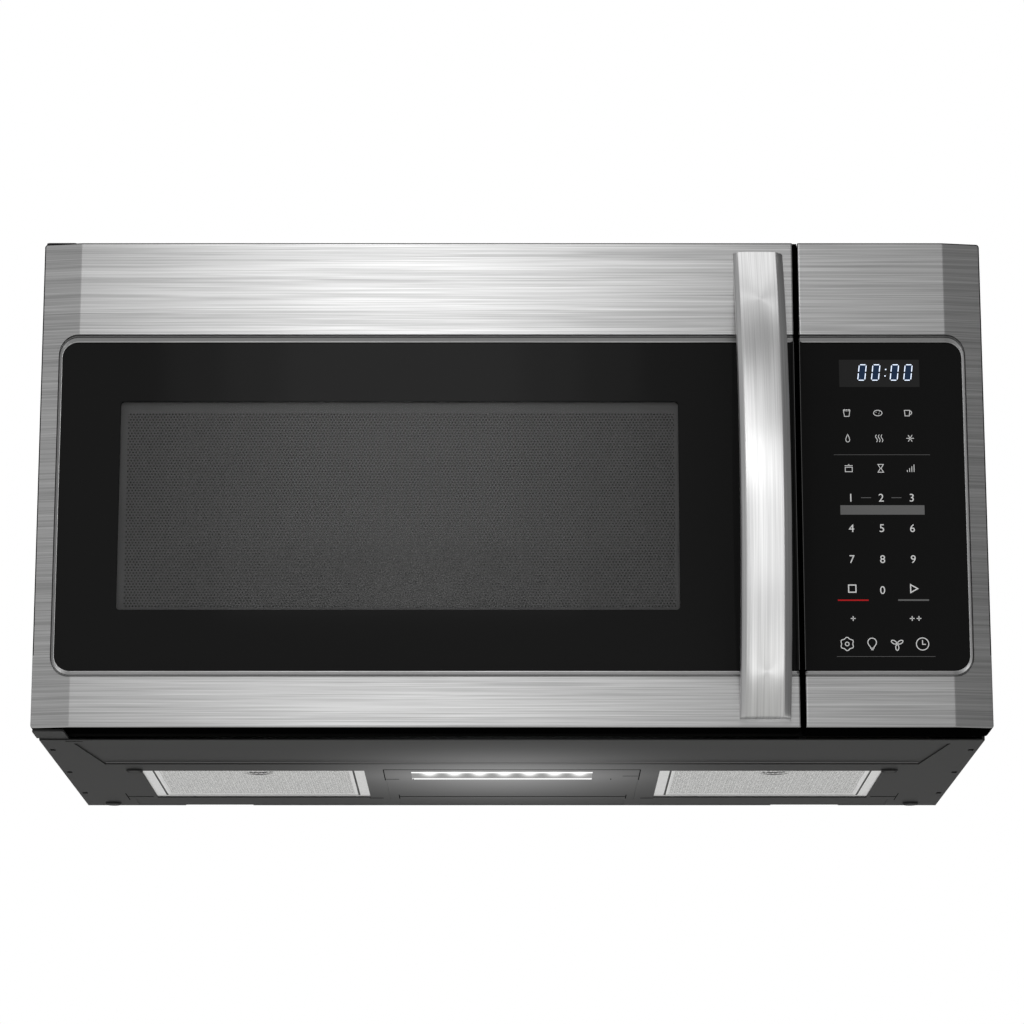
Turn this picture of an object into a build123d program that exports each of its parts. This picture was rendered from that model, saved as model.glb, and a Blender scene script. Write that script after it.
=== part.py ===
"""An over-the-range microwave oven, hung on a wall between kitchen cabinets.

X runs to the right, Y to the wall behind, Z up. The origin is under the middle of
the whole object, on the level of its lowest rubber bumpers. All sizes are in mm.
"""

import math
import os

from build123d import *

os.makedirs("parts", exist_ok=True)

# ---------------------------------------------------------------- overall sizes
overall_width = 759.0  # across the steel front
body_depth = 382.0  # wall to the outer edge of the front's side chamfers
face_rise = 4.5  # flat face ahead of the chamfers' outer edge
handle_reach = 57.5  # handle's apex ahead of the flat face
front_height = 398.5  # steel front, bottom edge to top edge
base_drop = 3.0  # cabinet below the front's bottom edge
top_rise = 3.0  # cabinet above the front's top edge
bumper_drop = 1.5  # rubber bumpers below the cabinet
case_inset = 2.5  # cabinet side in from the front's edge

overall_depth = body_depth + face_rise + handle_reach
half_width = overall_width / 2
case_x = half_width - case_inset
wall_y = overall_depth / 2
edge_y = wall_y - body_depth
base_z = bumper_drop
front_z = base_z + base_drop
front_top = front_z + front_height
top_z = front_top + top_rise

# ---------------------------------------------------------------- sheet and fits
case_sheet = 1.0
skin_sheet = 1.2
plate_sheet = 1.5
running_fit = 0.05  # radial, shafts and pins in their bores
gap = 0.3  # between pieces that move past each other
clip_gap = 0.2  # between pieces dropped into a frame
press_gap = 0.02  # radial, pins held fast in their bores

# ---------------------------------------------------------------- the front
chamfer_width = 30.5
corner_radius = 2.5
panel_width = 148.0  # control side
split_gap = 4.3  # between door and control side
skin_return = 8.0  # depth of the skin's folded edge behind the chamfer's edge
frame_depth = 24.0  # rear of the moulded frame behind the chamfer's edge
door_depth = 34.0  # rear of the door behind the chamfer's edge
door_gap = 1.5  # door to the cabinet's front plate
glass_thickness = 3.2
glass_side = 17.75  # glass opening in from the front's edge
glass_low = 45.5  # glass opening above the front's bottom edge
glass_top = 84.0  # and below its top edge
glass_radius = 12.5
glass_lap = 3.0  # glass behind the bezel
bezel_width = 5.7
bezel_lip = 1.5

face_y = edge_y - face_rise
return_y = edge_y + skin_return
frame_y = edge_y + frame_depth
door_y = edge_y + door_depth
plate_y = door_y + door_gap
cavity_y = plate_y + plate_sheet
glass_back_y = edge_y + glass_thickness
panel_x = half_width - panel_width
door_x = panel_x - split_gap
glass_x = half_width - glass_side
glass_z0 = front_z + glass_low
glass_z1 = front_top - glass_top

# ---------------------------------------------------------------- window
window_hinge_side = 64.9  # window in from the front's left edge
window_latch_side = 93.6  # and from the door's right edge
window_low = 95.5  # window above the front's bottom edge
window_top = 131.9  # and below its top edge
window_lap = 3.5  # frame's hole outside the printed window
window_left = -half_width + window_hinge_side
window_right = door_x - window_latch_side
window_z0 = front_z + window_low
window_z1 = front_top - window_top
window_mid_x = (window_left + window_right) / 2
window_mid_z = (window_z0 + window_z1) / 2
window_width = window_right - window_left
window_height = window_z1 - window_z0
screen_pitch = 14.0
screen_hole_r = 4.2
screen_margin = 42.0  # screen past the window
choke_wall = 7.0
film_thickness = 0.8
film_lap = 6.0
cover_sheet = 2.0
cover_margin = 8.0  # choke cover in from the door's edges
frame_wall = 3.0
pocket_margin = 14.0  # between the frame's pockets and the latch

# ---------------------------------------------------------------- handle
handle_width = 40.0
handle_back = 28.0  # handle's middle in from the door's right edge
handle_low = 6.5  # bar's lower end above the front's bottom edge
handle_top = 9.0  # and its upper end below the front's top edge
handle_apex = 191.0  # height of the apex
handle_end = 5.5  # front of the bar ahead of the face, at the end farther from the apex
handle_foot = 10.0  # shorter foot
handle_thickness = 15.0
handle_bevel = 6.0
handle_screw_r = 2.5
handle_screw_bite = 7.5
screw_head_height = 3.0
screw_head_r = 4.5

handle_x = door_x - handle_back
handle_y = face_y - handle_reach
handle_z = front_z + handle_apex
handle_z0 = front_z + handle_low
handle_z1 = front_top - handle_top

# front and back of the bar are arcs over the apex, from their sagittas
handle_halves = [handle_z - handle_z0, handle_z1 - handle_z]
grip_half = min(handle_halves) - handle_foot
handle_sagitta = handle_reach - handle_end
handle_radius = (max(handle_halves) ** 2 + handle_sagitta**2) / (2 * handle_sagitta)
handle_screw_zs = [(handle_z0 + handle_z - grip_half) / 2, (handle_z1 + handle_z + grip_half) / 2]

# ---------------------------------------------------------------- door hinge
hinge_inset = 13.5  # pin in from the door's left edge
hinge_depth = 12.0  # pin behind the chamfer's edge
pin_radius = 3.0
pin_depth = 12.0
bracket_sheet = 1.7
bracket_side = 1.0  # bracket in from the front's left edge
bracket_past = 12.5  # and past the pin, towards the middle
bracket_front = 2.0  # bracket behind the chamfer's edge
bracket_corner = 3.0
bracket_tail = 10.0  # bracket inside the cabinet
hinge_x = -half_width + hinge_inset
hinge_y = edge_y + hinge_depth
cover_x0 = hinge_x + pin_radius + 1.0
cover_x1 = door_x - 1.5 * cover_margin

# ---------------------------------------------------------------- oven cavity
cavity_hinge_side = 31.5  # cavity in from the front's left edge
cavity_latch_side = 51.2  # and from the door's right edge
cavity_low = 62.0  # cavity above the front's bottom edge
cavity_top = 100.5  # and below its top edge
cavity_rear = 15.0  # cavity ahead of the wall
cavity_sheet = 1.0
cavity_left = -half_width + cavity_hinge_side
cavity_right = door_x - cavity_latch_side
cavity_z0 = front_z + cavity_low
cavity_z1 = front_top - cavity_top
cavity_back_y = wall_y - cavity_rear
cavity_depth = cavity_back_y - cavity_y
cavity_mid_x = (cavity_left + cavity_right) / 2
cavity_mid_y = cavity_y + cavity_depth / 2
cavity_out_x = cavity_right + cavity_sheet
vent_radius = 2.0
vent_pitch = 6.0
vent_columns = 9
vent_rows = 3
vent_side = 170.0  # perforations in from the cavity's left wall
vent_drop = 32.0  # and below its roof
vent_x = cavity_left + vent_side
vent_z = cavity_z1 - vent_drop
lamp_radius = 7.5
lamp_size = 24.0
lamp_depth = 20.0
lamp_inside = 80.0  # lamp behind the cavity's mouth
lamp_drop = 28.0  # and below its roof
lamp_y = cavity_y + lamp_inside
lamp_z = cavity_z1 - lamp_drop

# ---------------------------------------------------------------- turntable
tray_room = 10.0  # tray's rim to the cavity's back
tray_thickness = 5.0
tray_rim = 9.0
roller_radius = 7.7
roller_width = 7.0
roller_count = 3
roller_bore = 2.5
ring_inset = 47.0  # middle of the roller ring's band in from the tray's rim
ring_width = 8.0
ring_height = 6.0
axle_length = 14.0
hub_radius = 14.0
shaft_radius = 3.5
shaft_hole = 6.0
motor_radius = 25.0
motor_height = 18.0
lug_radius = 21.0  # tray's drive lugs, from the middle
lug_size = 6.0
lug_lead = 25.0  # degrees from each lobe to its lug
hub_gap = 1.5  # coupler above the cavity's floor

tray_radius = cavity_depth / 2 - tray_room
ring_radius = tray_radius - ring_inset
roller_z = cavity_z0 + gap + roller_radius
tray_z = roller_z + roller_radius + gap
roller_reach = ring_radius + ring_width / 2 + axle_length / 2
roller_angles = [90 + i * 360 / roller_count for i in range(roller_count)]

# ---------------------------------------------------------------- latch
latch_side = 27.2  # latch in from the door's right edge
latch_thickness = 4.0
latch_travel = 4.0
latch_bar = 8.0
arm_height = 12.0
barb_height = 6.0
barb_length = 8.0
lower_arm = 106.0  # arms' lower edges above the front's bottom edge
upper_arm = 246.0
arm_reach = 24.0  # arm past the rear of the door
latch_room = 3.0  # slots around the arms
spring_radius = 3.0
spring_wire = 0.8
spring_length = 18.0
latch_depth = 5.0  # bar behind the skin's folded edge
latch_end = 2.0  # bar past its arms
latch_x = door_x - latch_side
latch_y0 = return_y + latch_depth
latch_y1 = latch_y0 + latch_bar
latch_mid_y = (latch_y0 + latch_y1) / 2
arm_tip_y = door_y + arm_reach
arm_floors = [front_z + lower_arm, front_z + upper_arm]
barb_rise = arm_height + barb_height
latch_z0 = arm_floors[0] - latch_end
latch_z1 = arm_floors[1] + barb_rise + latch_end
swing_room = 5.0  # slots to the right, where the arms swing as the door opens
bracket_wall = 2.0
bracket_reach = 46.0  # interlock bracket behind the front plate

# ---------------------------------------------------------------- switches
switch_length = 20.0
switch_thickness = latch_thickness + 2 * latch_room
switch_height = 10.2
plunger_radius = 1.5
plunger_travel = 2.0
plunger_stick = 3.2
switch_y = arm_tip_y + gap + plunger_stick
switch_bore = 7.0

# ---------------------------------------------------------------- control side
display_inset = 32.1  # display in from the control side's left edge
display_width = 64.6
display_height = 21.7
display_drop = 14.6  # display below the top of the glass opening
display_margin = 5.0
board_depth = 14.0  # board behind the chamfer's edge
board_sheet = 1.6
board_low = 60.0
board_margin = 10.0
housing_wall = 2.0
post_size = 8.0
relay_size = 16.0
board_y = edge_y + board_depth
display_left = panel_x + display_inset
display_right = display_left + display_width
display_z1 = glass_z1 - display_drop
display_z0 = display_z1 - display_height
board_x0 = panel_x + board_margin
board_x1 = half_width - board_margin
board_z0 = front_z + board_low
board_z1 = display_z1 + board_margin

# ---------------------------------------------------------------- underside
filter_inner = 124.0  # filter from the middle
filter_side = 68.5  # and in from the front's side edge
filter_front = 190.0  # behind the chamfer's edge
filter_rear = 45.0  # ahead of the wall
filter_thickness = 8.0
filter_lip = 3.0  # lap on the base plate, front and rear
filter_travel = 6.0
filter_band = 7.0  # frame around the mesh
mesh_thickness = 2.0
mesh_pitch = 12.0
mesh_hole = 6.4
shelf_side = 28.0  # shelf's front corners in from the front's side edges
shelf_taper = 14.0
shelf_front = 53.0
shelf_rear = 156.5
shelf_rise = 1.0
shelf_border = 4.0
lamp_half = 107.0
lamp_front = 178.0
lamp_rear = 37.0
lens_left = -85.0
lens_right = 68.0
lens_front = 18.0  # lens behind the lamp panel's front edge
lens_depth = 40.0
lens_lap = 4.0
lens_thickness = 2.5
led_count = 7
led_size = 5.0
led_height = 1.6
bumper_radius = 7.0
bumper_stem_r = 3.0
bumper_stem = 5.0
bumper_front_side = 63.5  # front bumpers in from the front's side edges
bumper_front_depth = 186.0
bumper_rear_side = 26.5
bumper_rear_room = 14.0  # rear bumpers ahead of the wall
slot_side = 5.3  # slots in from the cabinet's sides
slot_width = 4.4
slot_length = 8.0
step_rise = 0.4  # shallow steps pressed along the plate's rear edge
step_depth = 35.0
step_side = 48.5  # outer steps in from the front's side edges
step_inside = 10.0  # outer steps past the filters' inner ends
lamp_step_half = 99.0  # half the length of the step behind the lamp panel
slot_front = 84.0  # first slot behind the chamfer's edge
slot_rear = 72.0  # last slot ahead of the wall
filter_outer = half_width - filter_side
filter_y0 = edge_y + filter_front
filter_y1 = wall_y - filter_rear
lamp_y0 = edge_y + lamp_front
lamp_y1 = wall_y - lamp_rear
lens_y0 = lamp_y0 + lens_front
lens_y1 = lens_y0 + lens_depth
shelf_half = half_width - shelf_side
slot_x = case_x - slot_side
slot_y0 = edge_y + slot_front
slot_y1 = wall_y - slot_rear
slot_ys = [slot_y0, (slot_y0 + slot_y1) / 2, slot_y1]
bumper_places = [
    (half_width - bumper_front_side, edge_y + bumper_front_depth),
    (half_width - bumper_rear_side, wall_y - bumper_rear_room),
]
plate_top = base_z + case_sheet
plenum_height = 10.0
board_gap = 6.0

# ---------------------------------------------------------------- extraction
duct_width = 254.0
duct_depth = 82.5
duct_back = 12.0  # duct opening in front of the wall
duct_wall = 2.0
duct_height = 16.0
flap_thickness = 1.5
flap_gap = 1.0
flap_pin_r = 2.0
ledge_width = 5.0
foot_width = 30.0
scroll_radius = 40.0
scroll_width = 74.0
scroll_sheet = 1.5
scroll_inlet_r = 24.0
wheel_radius = 30.0
wheel_width = 58.0
blade_count = 24
blade_depth = 7.0
blade_sheet = 0.8
wheel_disc = 2.0
blower_shaft_r = 4.0
blower_motor_r = 34.0
blower_motor_length = 76.0
blower_gap = 3.0
grille_half = 150.0
grille_front = 12.0  # behind the cabinet's front plate
grille_depth = 100.0
grille_slots = 9
grille_slot = 5.0
charcoal_height = 16.0
charcoal_wall = 2.0
duct_y1 = wall_y - duct_back
duct_y0 = duct_y1 - duct_depth
duct_z0 = top_z - case_sheet - duct_height
scroll_y = (duct_y0 + duct_y1) / 2
scroll_z = duct_z0 - scroll_radius
scroll_mid_x = (blower_motor_length + scroll_width) / 2
flap_drop = 4.0  # flap below the top sheet
flap_z = top_z - case_sheet - flap_drop
flap_pin_y = duct_y1 - duct_wall - 2 * flap_pin_r

# ---------------------------------------------------------------- power parts
magnetron_size = 80.0
magnetron_length = 84.0
antenna_radius = 7.0
antenna_length = 20.0
fin_count = 6
fin_sheet = 1.0
fin_inset = 8.0
port_lap = 5.0
guide_depth = 40.0
guide_width = 90.0
guide_height = 140.0
port_size = 60.0
guide_back = 45.0  # waveguide behind the cavity's middle
guide_rise = 10.0  # and above it
aerial_drop = 30.0  # magnetron's aerial below the waveguide's top
guide_y = cavity_mid_y + guide_back
guide_z = (cavity_z0 + cavity_z1) / 2 + guide_rise
guide_x1 = cavity_out_x + guide_depth
magnetron_z = guide_z + guide_height / 2 - aerial_drop
core_width = 100.0
core_depth = 60.0
core_height = 82.0
coil_bulge = 18.0
coil_inset = 14.0
core_side = 89.0  # transformer's middle in from the cabinet's side
core_front = 110.0  # and behind the chamfer's edge
transformer_x = case_x - core_side
transformer_y = edge_y + core_front
capacitor_length = 96.0
capacitor_width = 50.0
capacitor_height = 34.0
capacitor_side = 34.0  # capacitor's middle in from the cabinet's side
capacitor_rear = 124.0  # and ahead of the wall
capacitor_x = case_x - capacitor_side
capacitor_y = wall_y - capacitor_rear
diode_radius = 5.0
diode_length = 22.0
fan_side = 102.0  # fan's middle in from the cabinet's side
fan_height = 210.0
fan_x = case_x - fan_side
fan_z = front_z + fan_height
fan_radius = 54.0
fan_blades = 5
fan_tilt = 20.0
fan_motor_size = 60.0
fan_motor_depth = 30.0
fan_shaft_r = 3.0
shroud_half = 68.0
shroud_depth = 60.0
hub_length = 14.0

# ---------------------------------------------------------------- mounting
bolt_spacing = 600.0
bolt_front = 70.0  # top bolts behind the chamfer's edge
bolt_radius = 3.2
nut_width = 16.0
nut_height = 8.0
hook_spacing = 520.0
hook_width = 60.0
hook_height = 12.0
side_screw_r = 2.0
side_screw_head_r = 4.0
side_screw_head = 1.2
side_screw_length = 8.0
side_screw_front = 60.0
side_screw_rear = 32.0
side_screw_low = 12.0
side_screw_top = 22.0
side_screw_ys = [edge_y + side_screw_front, wall_y - side_screw_rear]
side_screw_zs = [front_z + side_screw_low, front_top - side_screw_top]
flange = 16.0
gland_side = 79.5  # gland's middle in from the front's side edge
gland_rear = 52.0  # and ahead of the wall
gland_x = half_width - gland_side
gland_y = wall_y - gland_rear
gland_radius = 12.0
gland_bore = 5.0
gland_height = 8.0
gland_lip = 3.0


def block(x0, x1, y0, y1, z0, z1, mode=Mode.ADD):
    """A box in the open part, between two opposite corners."""
    with Locations(((x0 + x1) / 2, (y0 + y1) / 2, (z0 + z1) / 2)):
        Box(x1 - x0, y1 - y0, z1 - z0, mode=mode)


def rod(start, direction, radius, length, mode=Mode.ADD):
    """A cylinder in the open part, from its start along a direction."""
    with Locations(Plane(origin=start, z_dir=direction)):
        Cylinder(radius, length, align=(Align.CENTER, Align.CENTER, Align.MIN), mode=mode)


def upright(y):
    """A plane that faces the viewer at depth y, with X to the right and Z up."""
    return Plane(origin=(0, y, 0), x_dir=(1, 0, 0), z_dir=(0, -1, 0))


def glass_outline(y, grow):
    """The outline of the glass across door and control side, grown all round."""
    width = 2 * (glass_x + grow)
    height = glass_z1 - glass_z0 + 2 * grow
    with BuildSketch(upright(y)) as outline:
        with Locations((0, (glass_z0 + glass_z1) / 2)):
            RectangleRounded(width, height, glass_radius + grow)
    return outline.sketch


def bezel_cone(grow):
    """The tapered opening in the steel face, down to the glass."""
    lead = 1.0
    slope = bezel_width / face_rise
    with BuildPart() as cone:
        loft([glass_outline(face_y - lead, grow + bezel_width + slope * lead), glass_outline(edge_y, grow)])
    return cone.part


def front_slab(side, split_x, inset, back_y):
    """The front's solid shape, from its chamfered outer side to the split."""
    outer = side * (half_width - inset)
    fold = side * (half_width - chamfer_width)
    face = face_y + inset
    points = [(outer, back_y), (outer, edge_y + inset), (fold, face), (split_x, face), (split_x, back_y)]
    with BuildPart() as slab:
        with BuildSketch(Plane.XY.offset(front_z + inset)):
            with BuildLine():
                Polyline(*points, close=True)
            make_face()
        extrude(amount=front_height - 2 * inset)
    return slab.part


def outer_corners(part, side):
    """The two edges at a front piece's outer corners, which run from front to rear."""
    edges = part.edges().filter_by(Axis.Y)
    return edges.filter_by(lambda edge: abs(edge.center().X - side * half_width) < 0.01)


def front_skin(side, split_x):
    """A folded steel skin from the outer side to the split, open where the glass is."""
    with BuildPart() as hollow:
        add(front_slab(side, split_x + side * skin_sheet, skin_sheet, return_y + skin_sheet))
        add(bezel_cone(bezel_lip), mode=Mode.SUBTRACT)
    with BuildPart() as skin:
        add(front_slab(side, split_x, 0, return_y))
        fillet(outer_corners(skin, side), corner_radius)
        add(hollow.part, mode=Mode.SUBTRACT)
        add(bezel_cone(0), mode=Mode.SUBTRACT)
    return skin.part


def glass_pane(x0, x1):
    """A pane behind the bezel, cut from the full outline between two places on X."""
    with BuildPart() as pane:
        extrude(glass_outline(edge_y, glass_lap), amount=-glass_thickness)
        block(x0, x1, face_y, return_y, 0, top_z, mode=Mode.INTERSECT)
    return pane.part


# ================================================================ casing
with BuildPart() as outer_case:
    block(-case_x, case_x, cavity_y, wall_y, base_z, top_z)
    block(
        -case_x + case_sheet, case_x - case_sheet, cavity_y - 1, wall_y + 1, base_z - 1, top_z - case_sheet,
        mode=Mode.SUBTRACT,
    )
    # vent grille, duct and cord openings in the top
    grille_y0 = plate_y + grille_front
    grille_y1 = grille_y0 + grille_depth
    block(
        -grille_half - clip_gap, grille_half + clip_gap, grille_y0 - clip_gap, grille_y1 + clip_gap,
        top_z - 2 * case_sheet, top_z + 1, mode=Mode.SUBTRACT,
    )
    duct_half = duct_width / 2
    block(
        -duct_half - clip_gap, duct_half + clip_gap, duct_y0 - clip_gap, duct_y1 + clip_gap,
        top_z - 2 * case_sheet, top_z + 1, mode=Mode.SUBTRACT,
    )
    rod((gland_x, gland_y, top_z - 2 * case_sheet), (0, 0, 1), gland_radius, 3 * case_sheet, mode=Mode.SUBTRACT)
    # welded nuts for the two top bolts
    for side in (-1, 1):
        bolt_x = side * bolt_spacing / 2
        bolt_y = edge_y + bolt_front
        block(
            bolt_x - nut_width / 2, bolt_x + nut_width / 2, bolt_y - nut_width / 2, bolt_y + nut_width / 2,
            top_z - case_sheet - nut_height, top_z - case_sheet,
        )
        rod(
            (bolt_x, bolt_y, top_z - case_sheet - nut_height - 1), (0, 0, 1), bolt_radius,
            nut_height + case_sheet + 2, mode=Mode.SUBTRACT,
        )
        for screw_y in side_screw_ys:
            for screw_z in side_screw_zs:
                rod(
                    (side * (case_x + 1), screw_y, screw_z), (-side, 0, 0), side_screw_r + running_fit,
                    case_sheet + 2, mode=Mode.SUBTRACT,
                )
outer_case.part.label = "outer_case"
export_step(outer_case.part, "parts/outer_case.step")

# The base plate lies between the case's sides. Its shelf is pressed up, and the
# openings take the two grease filters and the lamp panel.
inner_x = case_x - case_sheet
with BuildPart() as base_plate:
    block(-inner_x, inner_x, cavity_y, wall_y - case_sheet, base_z, plate_top)
    # the flanges up the sides, which the side screws hold
    for side in (-1, 1):
        flange_x = side * (inner_x - case_sheet / 2)
        block(
            flange_x - case_sheet / 2, flange_x + case_sheet / 2, cavity_y, wall_y - case_sheet,
            base_z, side_screw_zs[0] + flange / 2,
        )
        for screw_y in side_screw_ys:
            rod(
                (side * (inner_x + 1), screw_y, side_screw_zs[0]), (-side, 0, 0), side_screw_r + running_fit,
                case_sheet + 2, mode=Mode.SUBTRACT,
            )
    # the pressed shelf: its floor first, then the recess below it
    shelf_points = [
        (-shelf_half, edge_y + shelf_front),
        (shelf_half, edge_y + shelf_front),
        (shelf_half - shelf_taper, edge_y + shelf_rear),
        (-shelf_half + shelf_taper, edge_y + shelf_rear),
    ]
    with BuildSketch(Plane.XY.offset(plate_top)):
        with BuildLine():
            Polyline(*shelf_points, close=True)
        make_face()
        offset(amount=shelf_border, kind=Kind.INTERSECTION)
    extrude(amount=shelf_rise)
    with BuildSketch(Plane.XY.offset(base_z)):
        with BuildLine():
            Polyline(*shelf_points, close=True)
        make_face()
    extrude(amount=shelf_rise, mode=Mode.SUBTRACT)
    # filter openings with a side wall each side, which guides the filter
    for side in (-1, 1):
        mid_x = side * (filter_inner + filter_outer) / 2
        half = (filter_outer - filter_inner) / 2
        block(
            mid_x - half - case_sheet, mid_x + half + case_sheet,
            filter_y0 - filter_lip, filter_y1 + filter_lip + filter_travel,
            plate_top, plate_top + plenum_height,
        )
        block(
            mid_x - half, mid_x + half, filter_y0 - filter_lip - 1, filter_y1 + filter_lip + filter_travel + 1,
            plate_top, plate_top + plenum_height + 1, mode=Mode.SUBTRACT,
        )
        block(mid_x - half, mid_x + half, filter_y0, filter_y1, base_z - 1, plate_top + 1, mode=Mode.SUBTRACT)
    # lamp panel opening
    block(-lamp_half, lamp_half, lamp_y0, lamp_y1, base_z - 1, plate_top + 1, mode=Mode.SUBTRACT)
    # shallow steps along the rear edge, behind the filters and the lamp panel
    step_ends = [half_width - step_side, filter_inner - step_inside]
    steps = [(-step_ends[0], -step_ends[1]), (-lamp_step_half, lamp_step_half), (step_ends[1], step_ends[0])]
    for step_x0, step_x1 in steps:
        block(
            step_x0, step_x1, wall_y - step_depth, wall_y, base_z - 1, base_z + step_rise, mode=Mode.SUBTRACT
        )
    # bumper stems and side slots
    for side in (-1, 1):
        for place_x, place_y in bumper_places:
            rod(
                (side * place_x, place_y, base_z - 1), (0, 0, 1), bumper_stem_r + running_fit,
                case_sheet + 2, mode=Mode.SUBTRACT,
            )
        for slot_y in slot_ys:
            block(
                side * slot_x - slot_width / 2, side * slot_x + slot_width / 2,
                slot_y - slot_length / 2, slot_y + slot_length / 2, base_z - 1, plate_top + 1,
                mode=Mode.SUBTRACT,
            )
base_plate.part.label = "base_plate"
export_step(base_plate.part, "parts/base_plate.step")

with BuildPart() as rear_panel:
    block(-inner_x, inner_x, wall_y - case_sheet, wall_y, base_z, top_z - case_sheet)
    # notches over the wall plate's two hooks
    for side in (-1, 1):
        hook_x = side * hook_spacing / 2
        block(
            hook_x - hook_width / 2, hook_x + hook_width / 2, wall_y - case_sheet - 1, wall_y + 1,
            base_z - 1, base_z + hook_height, mode=Mode.SUBTRACT,
        )
rear_panel.part.label = "rear_panel"
export_step(rear_panel.part, "parts/rear_panel.step")

# The plate behind the door: the cavity's mouth, the latch slots, and a window into
# the parts bay behind the control side.
with BuildPart() as front_plate:
    block(-inner_x, inner_x, plate_y, cavity_y, front_z, front_top)
    block(
        cavity_left, cavity_right, plate_y - 1, cavity_y + 1, cavity_z0, cavity_z1, mode=Mode.SUBTRACT
    )
    for floor in arm_floors:
        block(
            latch_x - latch_thickness / 2 - latch_room, latch_x + latch_thickness / 2 + swing_room,
            plate_y - 1, cavity_y + 1, floor - latch_travel - latch_room, floor + barb_rise + latch_room,
            mode=Mode.SUBTRACT,
        )
    block(
        board_x0, board_x1, plate_y - 1, cavity_y + 1, board_z0, board_z1, mode=Mode.SUBTRACT
    )
front_plate.part.label = "front_plate"
export_step(front_plate.part, "parts/front_plate.step")

with BuildPart() as base_bumpers:
    for side in (-1, 1):
        for place_x, place_y in bumper_places:
            rod((side * place_x, place_y, 0), (0, 0, 1), bumper_radius, bumper_drop)
            rod((side * place_x, place_y, bumper_drop), (0, 0, 1), bumper_stem_r, bumper_stem)
base_bumpers.part.label = "base_bumpers"
export_step(base_bumpers.part, "parts/base_bumpers.step")

with BuildPart() as side_screws:
    for side in (-1, 1):
        for screw_y in side_screw_ys:
            for screw_z in side_screw_zs:
                head = (side * (case_x + side_screw_head), screw_y, screw_z)
                rod(head, (-side, 0, 0), side_screw_head_r, side_screw_head)
                rod((side * case_x, screw_y, screw_z), (-side, 0, 0), side_screw_r, side_screw_length)
side_screws.part.label = "side_screws"
export_step(side_screws.part, "parts/side_screws.step")

with BuildPart() as cord_gland:
    rod((gland_x, gland_y, top_z - gland_height), (0, 0, 1), gland_radius - running_fit, gland_height)
    rod(
        (gland_x, gland_y, top_z - case_sheet - gland_lip), (0, 0, 1), gland_radius + gland_lip, gland_lip
    )
    rod(
        (gland_x, gland_y, top_z - gland_height - 1), (0, 0, 1), gland_bore, gland_height + 2,
        mode=Mode.SUBTRACT,
    )
cord_gland.part.label = "cord_gland"
export_step(cord_gland.part, "parts/cord_gland.step")

# ================================================================ door hinge
# A tongue below and one above the door, each reaching out of the cabinet.
with BuildPart() as hinge_brackets:
    tongues = [plate_top, top_z - case_sheet - bracket_sheet]
    for tongue_z in tongues:
        block(
            -half_width + bracket_side, hinge_x + bracket_past, edge_y + bracket_front, door_y,
            tongue_z, tongue_z + bracket_sheet,
        )
        block(
            -inner_x + case_sheet, hinge_x + bracket_past, hinge_y, cavity_y + bracket_tail,
            tongue_z, tongue_z + bracket_sheet,
        )
        rod(
            (hinge_x, hinge_y, tongue_z - 1), (0, 0, 1), pin_radius + running_fit, bracket_sheet + 2,
            mode=Mode.SUBTRACT,
        )
    fillet(hinge_brackets.edges().filter_by(Axis.Z).group_by(Axis.Y)[0], bracket_corner)
hinge_brackets.part.label = "hinge_brackets"
export_step(hinge_brackets.part, "parts/hinge_brackets.step")

with BuildPart() as hinge_pins:
    lower_z = plate_top
    rod((hinge_x, hinge_y, lower_z), (0, 0, 1), pin_radius, front_z + pin_depth - lower_z)
    upper_z = top_z - case_sheet
    rod((hinge_x, hinge_y, upper_z), (0, 0, -1), pin_radius, upper_z - front_top + pin_depth)
hinge_pins.part.label = "hinge_pins"
export_step(hinge_pins.part, "parts/hinge_pins.step")

# ================================================================ door
with BuildPart() as door_skin:
    add(front_skin(-1, door_x))
    for screw_z in handle_screw_zs:
        rod(
            (handle_x, face_y - 1, screw_z), (0, 1, 0), handle_screw_r + running_fit, skin_sheet + 2,
            mode=Mode.SUBTRACT,
        )
door_skin.part.label = "door_skin"
export_step(door_skin.part, "parts/door_skin.step")

with BuildPart() as door_glass:
    add(glass_pane(-half_width, door_x - skin_sheet - clip_gap))
door_glass.part.label = "door_glass"
export_step(door_glass.part, "parts/door_glass.step")

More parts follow.
